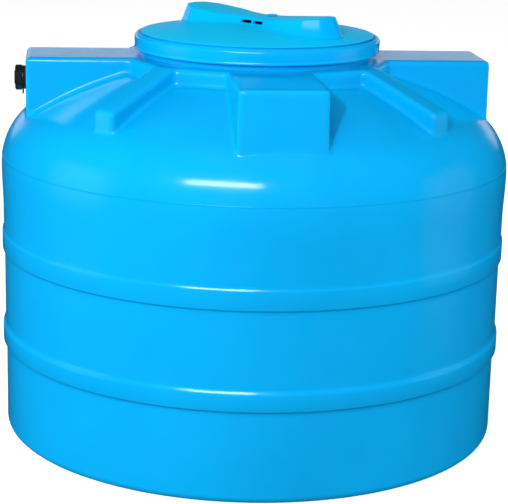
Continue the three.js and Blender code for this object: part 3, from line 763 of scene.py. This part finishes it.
def gripOutline():
    # anticlockwise from the far end of +along, in the grip's own (along, across)
    wing = [(share * grip["halfLength"], width * mm) for share, width in grip["outline"]]
    tip = (grip["halfLength"], 0)
    right = [(a, -b) for a, b in wing]
    quarter = [tip, *reversed(wing[1:]), wing[0]]
    left = [(-a, b) for a, b in wing[1:]] + [(-grip["halfLength"], 0)]
    back = [(-a, -b) for a, b in reversed(wing[1:])] + [right[0]]
    return smoothLoop(quarter + left + back + right[1:], 6)


def outwardNormals(loop):
    normals = []
    for i in range(len(loop)):
        run = loop[(i + 1) % len(loop)] - loop[i - 1]
        normals.append(Vector((run.y, -run.x)).normalized())
    return normals


def leaning(z):
    span = grip["draftTop"] - grip["draftFoot"]
    return grip["draft"] * min(1, (grip["draftTop"] - z) / span)


def gripTopAt(along):
    share = min(1, abs(along) / (grip["halfLength"] - grip["draft"]))
    return grip["middle"] + grip["endRise"] * share ** 1.7


def gripBlock(inset, flared):
    # rings stacked from the foot to the top, closed by strips that run across the top
    loop = gripOutline()
    normals = outwardNormals(loop)

    def ring(place):
        placed = []
        for point, normal in zip(loop, normals):
            out, z = place(point, normal)
            spot = point + normal * (out - inset)
            placed.append((spot.x, spot.y, z))
        return placed

    def discUnder(point, normal, out):
        spot = point + normal * out
        return discHeight(hypot(spot.x + grip["shift"], spot.y))

    def onFoot(turn):
        def place(point, normal):
            meeting = leaning(discUnder(point, normal, grip["draft"] / 2))
            out = meeting + grip["footRound"] * (1 - sin(radians(turn)))
            lift = grip["footRound"] * (1 - cos(radians(turn)))
            return out, discUnder(point, normal, out) + lift
        return place

    def onWall(share):
        def place(point, normal):
            low = discUnder(point, normal, grip["draft"] / 2) + grip["footRound"]
            z = low + (gripTopAt(point.x) - grip["topRound"] - low) * share
            return leaning(z), z
        return place

    def onTop(turn):
        def place(point, normal):
            top = gripTopAt(point.x) - inset
            out = leaning(top) - grip["topRound"] * (1 - cos(radians(turn)))
            return out, top - grip["topRound"] * (1 - sin(radians(turn)))
        return place

    def buried(point, normal):
        out = leaning(discUnder(point, normal, grip["draft"] / 2)) + grip["footRound"]
        return out, discUnder(point, normal, out) - grip["sunk"]

    def deepUnder(point, normal):
        return grip["draft"], discUnder(point, normal, grip["draft"]) - grip["rootDepth"]

    if flared:
        rings = [ring(lambda point, normal: (grip["draft"], grip["foot"])), ring(deepUnder), ring(buried)]
        rings += [ring(onFoot(turn)) for turn in (0, 20, 40, 60, 80)]
        rings += [ring(onWall(share)) for share in (0.15, 0.5)]
    else:
        rings = [ring(lambda point, normal: (grip["draft"], lid["bottom"])),
                 ring(lambda point, normal: (grip["draft"], grip["draftFoot"]))]
    rings += [ring(onTop(turn)) for turn in (0, 20, 40, 60, 80, 90)]
    count = len(loop)
    verts = [point for placed in rings for point in placed]
    faces = []
    for level in range(len(rings) - 1):
        for i in range(count):
            j = (i + 1) % count
            faces.append((level * count + i, level * count + j, (level + 1) * count + j,
                          (level + 1) * count + i))
    last = (len(rings) - 1) * count
    for i in range(count // 2):
        # point i and point count - i lie opposite each other
        a, b = i, i + 1
        c, d = (count - i - 1) % count, (count - i) % count
        strip = [last + a, last + b, last + c, last + d]
        faces.append(tuple(dict.fromkeys(strip)))
        faces.append(tuple(dict.fromkeys(reversed([v - last for v in strip]))))
    piece = addObject("gripBlock", verts, [], faces)
    editing(piece)
    bpy.ops.mesh.normals_make_consistent(inside=False)
    leaveEditing()
    return onGrip(piece)


def onGrip(piece):
    turn = Matrix.Rotation(radians(grip["turn"]), 4, "Z")
    piece.data.transform(turn @ Matrix.Translation((grip["shift"], 0, 0)))
    return piece


def makeLid():
    piece = spun("screwLid", lidProfile(), lid["sides"])
    thread = lid["thread"]
    start = platform["top"] + neck["ridgeFoot"] - thread["below"]
    ridge = threadRidge(thread["root"], thread["crest"], neck["ridgeHalf"],
                        thread["from"], thread["turn"], start)
    combine(piece, [gripBlock(0, True), ridge], "UNION")
    slots = grip["slots"]
    cutters = [gripBlock(grip["wall"], False)]
    half, height = slots["length"] / 2, slots["height"] / 2
    back, front = slots["across"]
    for middle in slots["along"]:
        slot = blockOf("slot", (middle - half, back, slots["z"] - height),
                       (middle + half, front, slots["z"] + height))
        cutters.append(onGrip(bevelled(slot, slots["round"], 3)))
    stem = cylinderOn("stemHole", breather["stem"] + breather["play"], grip["foot"], grip["draftTop"], 32)
    stem.data.transform(Matrix.Translation((breather["along"], breather["across"], 0)))
    cutters.append(onGrip(stem))
    combine(piece, cutters, "DIFFERENCE")
    finished(piece, "screw_lid", "lid_blue", "lid", 40)
    print("screw lid made:", len(piece.data.polygons), "faces")


def roundedRing(inner, outer, low, high, edge):
    # a ring's section with all four corners rounded
    near, far, below, above = inner + edge, outer - edge, low + edge, high - edge
    points = arc(near, below, edge, 180, 270, 3) + arc(far, below, edge, 270, 360, 3)
    return points + arc(far, above, edge, 0, 90, 3) + arc(near, above, edge, 90, 180, 3)


def makeGasket():
    ring = roundedRing(lidGasket["inner"], lidGasket["outer"], gasketLow.z, gasketHigh.z, lidGasket["round"])
    finished(spun("lidGasket", ring, 160), "lid_ring", "rubber_black", "lid_gasket")


def makeBreather():
    low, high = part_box("breather_cap")
    seat, top = high.z - breather["head"], high.z - breather["crown"]
    radius, stem, tip = breather["radius"], breather["stem"], breather["tip"]
    under, over = breather["lowRound"], breather["topRound"]
    profile = [(0, low.z), (stem - 0.75 * tip, low.z), (stem, low.z + tip), (stem, seat)]
    profile += arc(radius - under, seat + under, under, -90, 0, 3)
    profile += arc(radius - over, top - over, over, 0, 90, 5)
    profile += [(radius * 0.55, top), (radius * 0.45, top - tip / 2), (0, top - under)]
    piece = spun("breatherCap", profile, 64)
    cut = breather["notches"]
    notches = []
    for i in range(cut["count"]):
        notch = cylinderOn("notch", cut["radius"], seat - cut["below"], seat + cut["above"], 12)
        turn = Matrix.Rotation(2 * pi * i / cut["count"], 4, "Z")
        notch.data.transform(turn @ Matrix.Translation((radius, 0, 0)))
        notches.append(notch)
    combine(piece, notches, "DIFFERENCE")
    piece.data.transform(Matrix.Translation((breather["along"], breather["across"], 0)))
    finished(onGrip(piece), "screw_lid", "lid_blue", "breather_cap")


makeLid()
makeGasket()
makeBreather()
print("gasket and breather cap made")


# the inlet fitting outside the wall, in millimetres along the valve
inlet = {
    "bore": 10.8,
    "acrossFlats": 32,
    "nut": (-16.1, -6.1),
    "nutChamfer": 1.5,
    "washer": (-5.8, -3.6),
    "washerRadius": 17.5,
    "washerEdge": 0.4,
    "lug": (5, 23.3),
    "lugRoot": 14,
    "outerSeal": (-3.3, -0.3),
    "innerSeal": (5.3, 8.3),
    "sealRadius": 17,
    "sealRound": 0.5,
}


def onValveDone(piece, body, slotName, node):
    finished(onValve(piece), body, slotName, node)


def hexNut(name, acrossFlats, bore, ends, chamfer):
    low, high = ends
    corner = acrossFlats / 2 / cos(pi / 6)
    piece = cornerOnX(cylinderOn(name, corner, low, high, 6))
    barrel = [(0, low), (corner - 1.6 * chamfer, low), (corner, low + chamfer),
              (corner, high - 0.4 * chamfer), (corner - 0.6 * chamfer, high), (0, high)]
    combine(piece, [spun("nutBarrel", barrel, 96)], "INTERSECT")
    lead, beyond = 0.5 * chamfer, 1 * mm
    hole = [(0, low - beyond), (bore + lead + beyond, low - beyond), (bore, low + lead), (bore, high - lead),
            (bore + lead + beyond, high + beyond), (0, high + beyond)]
    combine(piece, [spun("nutBore", hole, 64)], "DIFFERENCE")
    return bevelled(piece, acrossFlats / 100, 2, 25)


def makeLocknut():
    piece = hexNut("inletLocknut", inlet["acrossFlats"] * mm, inlet["bore"] * mm,
                   [value * mm for value in inlet["nut"]], inlet["nutChamfer"] * mm)
    onValveDone(piece, "tank", "plastic_black", "inlet_locknut")


def makeWasher():
    low, high = (value * mm for value in inlet["washer"])
    piece = cylinderOn("tabWasher", inlet["washerRadius"] * mm, low, high, 96)
    half, reach = (value * mm for value in inlet["lug"])
    lug = block("lug", (inlet["lugRoot"] * mm, -half, low), (reach, half, high))
    combine(piece, [lug], "UNION")
    combine(piece, [cylinderOn("bore", inlet["bore"] * mm, low - 1 * mm, high + 1 * mm, 64)], "DIFFERENCE")
    bevelled(piece, inlet["washerEdge"] * mm, 2)
    onValveDone(piece, "tank", "plastic_black", "tab_washer")


def makeSeal(name, ends, node):
    low, high = (value * mm for value in ends)
    ring = roundedRing(inlet["bore"] * mm, inlet["sealRadius"] * mm, low, high, inlet["sealRound"] * mm)
    onValveDone(spun(name, ring, 96), "tank", "rubber_black", node)


makeLocknut()
makeWasher()
makeSeal("outerGasket", inlet["outerSeal"], "outer_gasket")
makeSeal("innerGasket", inlet["innerSeal"], "inner_gasket")
print("inlet fitting made")


# the float valve inside the wall, in its own millimetres: Z runs inwards and X down
pivot = {"along": 53, "drop": 17}
valveBody = {
    "edge": 0.6,
    "bore": 5.5,
    "recess": (7.3, -15.7),
    "tail": {"radius": 10.4, "root": 9.5, "pitch": 1.8, "start": -17.2, "threadEnd": 3},
    "flange": (17, 8.6, 13.6),
    "barrel": {"radius": 13, "bore": 8.3, "floor": 14.6, "end": 67},
    "spout": {"along": 33, "radius": 8, "neck": 7.4, "bore": 5.6, "start": 9, "rim": 5, "end": 24},
    "ear": {"along": 53, "start": 9, "drop": 16, "round": 7, "across": 8.4, "edge": 0.5,
            "slot": 4.4, "slotReach": 8, "hole": 2.3, "holeReach": 12},
}


def turned(name, points, sides=64):
    return spun(name, scaled(points), sides)


def shifted(piece, x, z):
    piece.data.transform(Matrix.Translation((x * mm, 0, z * mm)))
    return piece


def acrossY(piece):
    # from standing on Z to lying along +Y
    piece.data.transform(Matrix.Rotation(-pi / 2, 4, "X"))
    return piece


def pinAcross(name, radius, half, x, z):
    return shifted(acrossY(cylinderOn(name, radius * mm, -half * mm, half * mm)), x, z)


def threaded(crest, root, pitch, start, end):
    # ridges and grooves of a screw thread, seen from the side
    points = []
    for i in range(int((end - start) / pitch)):
        z = start + i * pitch
        points += [(root, z), (root, z + 0.2 * pitch), (crest, z + 0.45 * pitch), (crest, z + 0.75 * pitch)]
    return points


def makeValveBody():
    recess, tail, barrel = (valveBody[part] for part in ("recess", "tail", "barrel"))
    spout, ear, bore, edge = (valveBody[part] for part in ("spout", "ear", "bore", "edge"))
    ring, face, back = valveBody["flange"]
    start, floor, end = tail["start"], barrel["floor"], barrel["end"]
    outer, inner = barrel["radius"], barrel["bore"]
    profile = [(recess[0], start), (tail["root"], start)]
    profile += threaded(tail["radius"], tail["root"], tail["pitch"], start + edge, tail["threadEnd"])
    profile += [(tail["radius"], tail["threadEnd"]), (tail["radius"], face), (ring - edge, face),
                (ring, face + edge), (ring, back - edge), (ring - edge, back), (outer + 1, back),
                (outer, back + 1), (outer, end - edge), (outer - edge, end), (inner + edge, end),
                (inner, end - edge), (inner, floor), (bore, floor), (bore, recess[1]), recess]
    piece = turned("valveBody", profile, 96)
    narrow, wide, foot = spout["neck"], spout["radius"], spout["end"]
    collar = foot - spout["rim"]
    spoutProfile = [(0, spout["start"]), (narrow, spout["start"]), (narrow, collar), (wide, collar + edge),
                    (wide, foot - edge), (wide - edge, foot), (0, foot)]
    ears = [(ear["start"], ear["along"] - ear["round"]), (ear["start"], ear["along"] + ear["round"])]
    ears += arc(ear["drop"], ear["along"], ear["round"], 90, -90, 12)
    slotLow, slotHigh = ear["along"] - ear["slotReach"], ear["along"] + ear["slotReach"]
    combine(piece, [
        shifted(turnToX(turned("spout", spoutProfile)), 0, spout["along"]),
        bevelled(plate("ears", scaled(ears), ear["across"] * mm), ear["edge"] * mm, 2),
    ], "UNION")
    combine(piece, [
        cylinderOn("bore", inner * mm, floor * mm, (end + 1) * mm, 96),
        shifted(turnToX(cylinderOn("spoutBore", spout["bore"] * mm, 0, (foot + 1) * mm)), 0, spout["along"]),
        blockOf("slot", (0, -ear["slot"], slotLow), (foot, ear["slot"], slotHigh)),
        pinAcross("pinHole", ear["hole"], ear["holeReach"], pivot["drop"], pivot["along"]),
    ], "DIFFERENCE")
    onValveDone(piece, "tank", "plastic_black", "valve_body")


strainer = {
    "profile": [(0, 3), (4.3, 3), (5.1, 2.2), (5.1, -15.9), (6.7, -16), (7, -16.3), (7, -16.7), (6.7, -17),
                (4.5, -17), (4.2, -16.7), (4.2, 2.1), (0, 2.1)],
    "slot": ((-8, -0.6, -12.8), (8, 0.6, 0)),
    "slotTurns": (0, 60, 120),
}
nozzle = {
    "profile": [(2, 14.9), (7.7, 14.9), (8, 15.2), (8, 17.6), (7.7, 17.9), (5.6, 17.9),
                (5, 18.5), (5, 28), (3.4, 29.7), (3, 30), (2.3, 30), (2, 29.6)],
}


def makeStrainer():
    piece = turned("inletStrainer", strainer["profile"])
    slots = []
    for turn in strainer["slotTurns"]:
        slot = blockOf("slot", *strainer["slot"])
        slot.data.transform(Matrix.Rotation(radians(turn), 4, "Z"))
        slots.append(slot)
    combine(piece, slots, "DIFFERENCE")
    onValveDone(piece, "tank", "plastic_white", "inlet_strainer")


def makeNozzle():
    onValveDone(turned("seatNozzle", nozzle["profile"]), "tank", "plastic_white", "seat_nozzle")


piston = {
    "profile": [(0, 40.9), (6.3, 40.9), (6.3, 38.4), (6.6, 38.1), (7.7, 38.1), (8, 38.4), (8, 43),
                (7.5, 43.4), (7.5, 44.6), (8, 45), (8, 65.4), (7.4, 66), (0, 66)],
    "fingerSlot": ((2.6, -9, 53), (9, 9, 59.8)),
    "seal": [(0, 37.1), (5.6, 37.1), (6, 37.5), (6, 40.2), (5.6, 40.6), (0, 40.6)],
}
endCap = {
    "profile": [(0, 67.3), (13.3, 67.3), (13.3, 61.7), (13.7, 61.3), (15.4, 61.3), (15.8, 61.7),
                (15.8, 69.3), (14.8, 70.3), (0, 70.3)],
    "flutes": {"count": 20, "radius": 0.9, "from": 60, "to": 68, "out": 16},
}


def makePiston():
    piece = turned("valvePiston", piston["profile"], 96)
    combine(piece, [blockOf("fingerSlot", *piston["fingerSlot"])], "DIFFERENCE")
    onValveDone(piece, "piston", "plastic_white", "piston")
    onValveDone(turned("pistonSeal", piston["seal"]), "piston", "rubber_black", "piston_seal")


def makeEndCap():
    piece = turned("endCap", endCap["profile"], 96)
    cut = endCap["flutes"]
    flutes = []
    for i in range(cut["count"]):
        flute = cylinderOn("flute", cut["radius"] * mm, cut["from"] * mm, cut["to"] * mm, 16)
        turn = Matrix.Rotation(2 * pi * i / cut["count"], 4, "Z")
        flute.data.transform(turn @ Matrix.Translation((cut["out"] * mm, 0, 0)))
        flutes.append(flute)
    combine(piece, flutes, "DIFFERENCE")
    onValveDone(piece, "tank", "plastic_black", "end_cap")


# along Y, with the clip in the pin's groove
leverPin = {
    "profile": [(0, -9.7), (2.9, -9.7), (3.4, -9.3), (3.4, -8.7), (2, -8.7), (2, 8.7), (1.5, 8.7),
                (1.5, 10.1), (2, 10.1), (2, 10.7), (1.6, 11.1), (0, 11.1)],
    "clip": {"inner": 1.8, "outer": 4, "low": 9, "high": 9.8, "edge": 0.2},
    "clipMouth": ((0, 8, -1.2), (5, 11, 1.2)),
    "clipEye": {"radius": 0.6, "from": 8, "to": 11, "x": -0.6, "z": 1.9},
}


def makePin():
    piece = acrossY(turned("leverPin", leverPin["profile"], 48))
    onValveDone(shifted(piece, pivot["drop"], pivot["along"]), "tank", "steel_bright", "lever_pin")
    ring, eye = leverPin["clip"], leverPin["clipEye"]
    section = roundedRing(ring["inner"], ring["outer"], ring["low"], ring["high"], ring["edge"])
    clip = acrossY(turned("pinClip", section, 64))
    cutters = [blockOf("mouth", *leverPin["clipMouth"])]
    for side in (-1, 1):
        hole = acrossY(cylinderOn("eye", eye["radius"] * mm, eye["from"] * mm, eye["to"] * mm, 24))
        cutters.append(shifted(hole, eye["x"], eye["z"] * side))
    combine(clip, cutters, "DIFFERENCE")
    onValveDone(shifted(clip, pivot["drop"], pivot["along"]), "tank", "steel_bright", "pin_clip")


makeValveBody()
makeStrainer()
makeNozzle()
makePiston()
makeEndCap()
makePin()
print("valve made")


# the float arm, in its own millimetres: X runs along the rod, and the pivot is the origin
swing = [joint for joint in frame["joints"] if joint["name"] == "arm_swing"][0]
arm = {"pivot": swing["pos_m"], "hang": 48}
lever = {
    "eye": 5,
    "half": 3.8,
    "hole": 2.3,
    "edge": 0.5,
    "finger": {"reach": 11, "half": 2.1, "tip": 3, "turn": 120},
    "neck": 2.4,
    "neckEdge": 0.6,
    "clamp": {"radius": 6.5, "start": 20, "end": 44, "edge": 0.8},
    "socket": (3.3, 24),
    "screwHole": {"radius": 2.3, "along": 34, "depth": 8},
}
rod = {
    "radius": 3,
    "root": 2.55,
    "edge": 0.5,
    "from": 24.3,
    "to": 238.7,
    "threadStart": 205,
    "screw": [(0, 3.3), (1.6, 3.3), (2, 3.7), (2, 6.8), (4.6, 6.8), (5, 7.2), (5, 11), (4.2, 11.8),
              (0, 11.8)],
    "screwSlot": ((-6, -0.6, 10.4), (6, 0.6, 13)),
    "nut": {"acrossFlats": 10, "start": 214.7, "end": 220.7, "chamfer": 0.5},
}
ballFloat = {
    "along": 285,
    "radius": 54.5,
    "bead": 55,
    "inner": 52,
    "boss": {"radius": 10, "start": 221, "edge": 0.6, "length": 8},
    "socket": {"radius": 3.3, "lead": 0.5, "bottom": 239, "wall": 3},
    "gap": 0.15,
}


def onArmDone(piece, slotName, node):
    hanging = Matrix.Rotation(radians(arm["hang"]), 4, "Y")
    piece.data.transform(Matrix.Translation(arm["pivot"]) @ hanging)
    finished(piece, "float_arm", slotName, node)


def makeLever():
    half, edge = lever["half"], lever["edge"]
    finger = lever["finger"]
    along, across = cos(radians(finger["turn"])), sin(radians(finger["turn"]))
    tip = (finger["reach"] * along, finger["reach"] * across)
    side = (finger["half"] * across, -finger["half"] * along)
    outline = [side, (tip[0] + side[0], tip[1] + side[1]), (tip[0] - side[0], tip[1] - side[1]),
               (-side[0], -side[1])]
    radius, start, end, soft = (lever["clamp"][part] for part in ("radius", "start", "end", "edge"))
    clamp = [(0, start), (radius - soft, start), (radius, start + soft), (radius, end - soft),
             (radius - soft, end), (0, end)]
    piece = bevelled(pinAcross("floatLever", lever["eye"], half, 0, 0), edge * mm, 2)
    neckBar = blockOf("neck", (0, -half, -lever["neck"]), (start + 1, half, lever["neck"]))
    combine(piece, [
        plate("finger", scaled(outline), half * mm),
        pinAcross("tip", finger["tip"], half, *tip),
        bevelled(neckBar, lever["neckEdge"] * mm, 2),
        turnToX(turned("clamp", clamp)),
    ], "UNION")
    socket, screwHole = lever["socket"], lever["screwHole"]
    drilled = cylinderOn("screwHole", screwHole["radius"] * mm, 0, screwHole["depth"] * mm)
    combine(piece, [
        pinAcross("pinHole", lever["hole"], half + 1, 0, 0),
        turnToX(cylinderOn("socket", socket[0] * mm, socket[1] * mm, (end + 1) * mm)),
        shifted(drilled, screwHole["along"], 0),
    ], "DIFFERENCE")
    onArmDone(piece, "plastic_black", "lever")


def makeRod():
    radius, root, edge = rod["radius"], rod["root"], rod["edge"]
    start, end, threadStart = rod["from"], rod["to"], rod["threadStart"]
    profile = [(0, start), (radius - edge, start), (radius, start + edge), (radius, threadStart)]
    profile += threaded(radius, root, 1, threadStart + edge, end - 1)
    profile += [(root, end - 0.8 * edge), (root - 0.8 * edge, end), (0, end)]
    onArmDone(turnToX(turned("floatRod", profile, 48)), "brass_rod", "float_rod")
    head = turned("rodScrew", rod["screw"], 48)
    combine(head, [blockOf("slot", *rod["screwSlot"])], "DIFFERENCE")
    onArmDone(shifted(head, lever["screwHole"]["along"], 0), "brass_rod", "rod_screw")
    flats, low, high, chamfer = (value * mm for value in rod["nut"].values())
    nut = hexNut("floatNut", flats, lever["socket"][0] * mm, (low, high), chamfer)
    onArmDone(turnToX(nut), "brass_rod", "float_nut")


def makeFloat():
    middle, radius, bead, inner = (ballFloat[part] for part in ("along", "radius", "bead", "inner"))
    post, hole, seam = ballFloat["boss"], ballFloat["socket"], ballFloat["gap"]
    start, edge, lead = post["start"], post["edge"], hole["lead"]
    closing = hole["bottom"] + hole["wall"]
    near = [(0, hole["bottom"]), (hole["radius"], hole["bottom"]), (hole["radius"], start + lead),
            (hole["radius"] + lead, start), (post["radius"] - edge, start), (post["radius"], start + edge),
            (post["radius"], start + post["length"])]
    near += arc(0, middle, radius, -77, -1.6, 30)
    near += [(bead, middle - 1), (bead, middle - seam), (inner, middle - seam)]
    near += arc(0, middle, inner, -2, -80, 24)
    near += [(post["radius"] - 1, closing), (0, closing)]
    onArmDone(turnToX(turned("floatNearHalf", near, 96)), "float_orange", "float_near_half")
    far = arc(0, middle, inner, 90, 2, 24)
    far += [(inner, middle + seam), (bead, middle + seam), (bead, middle + 1)]
    far += arc(0, middle, radius, 1.6, 90, 30)
    onArmDone(turnToX(turned("floatFarHalf", far, 96)), "float_orange", "float_far_half")


makeLever()
makeRod()
makeFloat()
print("float arm made")


view = {"distance": 2.55254, "height": 0.91038, "turn": -6.4, "yaw": 0.07, "pitch": 14.33,
        "roll": 1.42, "lens": 123.13, "sensor": 36, "far": 50}
# powers in watts, sizes and distances in metres, turns and heights in degrees
studio = {
    "floorSize": 30,
    "floorGrain": 3,
    "floorColours": ((0.93, 0.93, 0.93), (0.95, 0.95, 0.95)),
    "floorRoughness": 0.7,
    "floorGlow": 0.6,
    "fill": 0.38,
    "backdrop": 1.0,
    "reflected": 0.01,
    "lights": {
        "key": {"azimuth": -109.9, "height": 33, "distance": 2.2, "size": (1.05, 0.2), "power": 15},
        "low": {"azimuth": -109.8, "height": 17.9, "distance": 3, "size": (0.12, 0.12), "power": 52,
                "mirrored": False, "aim": (0, -0.2, 0.53)},
        "left": {"azimuth": -176, "height": 8, "distance": 3, "size": (1.5, 2), "power": 54,
                 "mirrored": False},
        "right": {"azimuth": -4, "height": 3, "distance": 3, "size": (1.5, 2), "power": 58,
                  "mirrored": False},
        "top": {"azimuth": -96, "height": 80, "distance": 2.5, "size": (1.5, 1.5), "power": 4,
                "mirrored": False},
        "back": {"azimuth": 84, "height": 0, "distance": 3.5, "size": (5, 0.7), "power": 8,
                 "aim": (0, 0, 0.85)},
    },
}


def addCamera():
    data = bpy.data.cameras.new("camera")
    data.lens = view["lens"]
    data.sensor_width = view["sensor"]
    data.clip_end = view["far"]
    camera = bpy.data.objects.new("camera", data)
    scene.collection.objects.link(camera)
    turn = radians(view["turn"])
    place = Vector((view["distance"] * sin(turn), -view["distance"] * cos(turn), view["height"]))
    look = Matrix.Rotation(radians(view["turn"] - view["yaw"]), 4, "Z")
    look = look @ Matrix.Rotation(radians(90 - view["pitch"]), 4, "X")
    look = look @ Matrix.Rotation(radians(view["roll"]), 4, "Z")
    camera.matrix_world = Matrix.Translation(place) @ look
    scene.camera = camera


def addAreaLight(name, azimuth, height, distance, size, power, mirrored=True, aim=(0, 0, 0.35)):
    data = bpy.data.lights.new(name, "AREA")
    data.shape = "RECTANGLE"
    data.size, data.size_y = size
    data.energy = power
    lamp = bpy.data.objects.new(name, data)
    scene.collection.objects.link(lamp)
    turn, lift = radians(azimuth), radians(height)
    direction = Vector((cos(turn) * cos(lift), sin(turn) * cos(lift), sin(lift)))
    target = Vector(aim)
    lamp.location = target + direction * distance
    lamp.rotation_euler = (target - lamp.location).to_track_quat("-Z", "Y").to_euler()
    lamp.visible_glossy = mirrored


def addStudio():
    deselectAll()
    bpy.ops.mesh.primitive_plane_add(size=studio["floorSize"])
    floor = bpy.context.object
    floor.name = "floor"
    material, tree, shader = newMaterial("floor_white")
    grain = noise(tree, objectPlace(tree), studio["floorGrain"])
    tree.links.new(blended(tree, grain, *studio["floorColours"]), shader.inputs["Base Color"])
    shader.inputs["Roughness"].default_value = studio["floorRoughness"]
    shader.inputs["Specular IOR Level"].default_value = 0
    shader.inputs["Emission Color"].default_value = (1, 1, 1, 1)
    shader.inputs["Emission Strength"].default_value = studio["floorGlow"]
    floor.data.materials.append(material)
    floor.visible_diffuse = False
    floor.visible_glossy = False
    world = bpy.data.worlds.new("studio")
    world.use_nodes = True
    tree = world.node_tree
    background = tree.nodes["Background"]
    background.inputs["Color"].default_value = (1, 1, 1, 1)
    rays = tree.nodes.new("ShaderNodeLightPath")
    strength = studio["fill"]
    for ray, wanted in (("Is Camera Ray", studio["backdrop"]), ("Is Glossy Ray", studio["reflected"])):
        node = tree.nodes.new("ShaderNodeMath")
        node.operation = "MULTIPLY_ADD"
        tree.links.new(rays.outputs[ray], node.inputs[0])
        node.inputs[1].default_value = wanted - studio["fill"]
        if isinstance(strength, float):
            node.inputs[2].default_value = strength
        else:
            tree.links.new(strength, node.inputs[2])
        strength = node.outputs["Value"]
    tree.links.new(strength, background.inputs["Strength"])
    scene.world = world
    for name, light in studio["lights"].items():
        addAreaLight(name, **light)
    scene.view_settings.view_transform = "Standard"


addCamera()
addStudio()
print("camera, floor and lights placed")
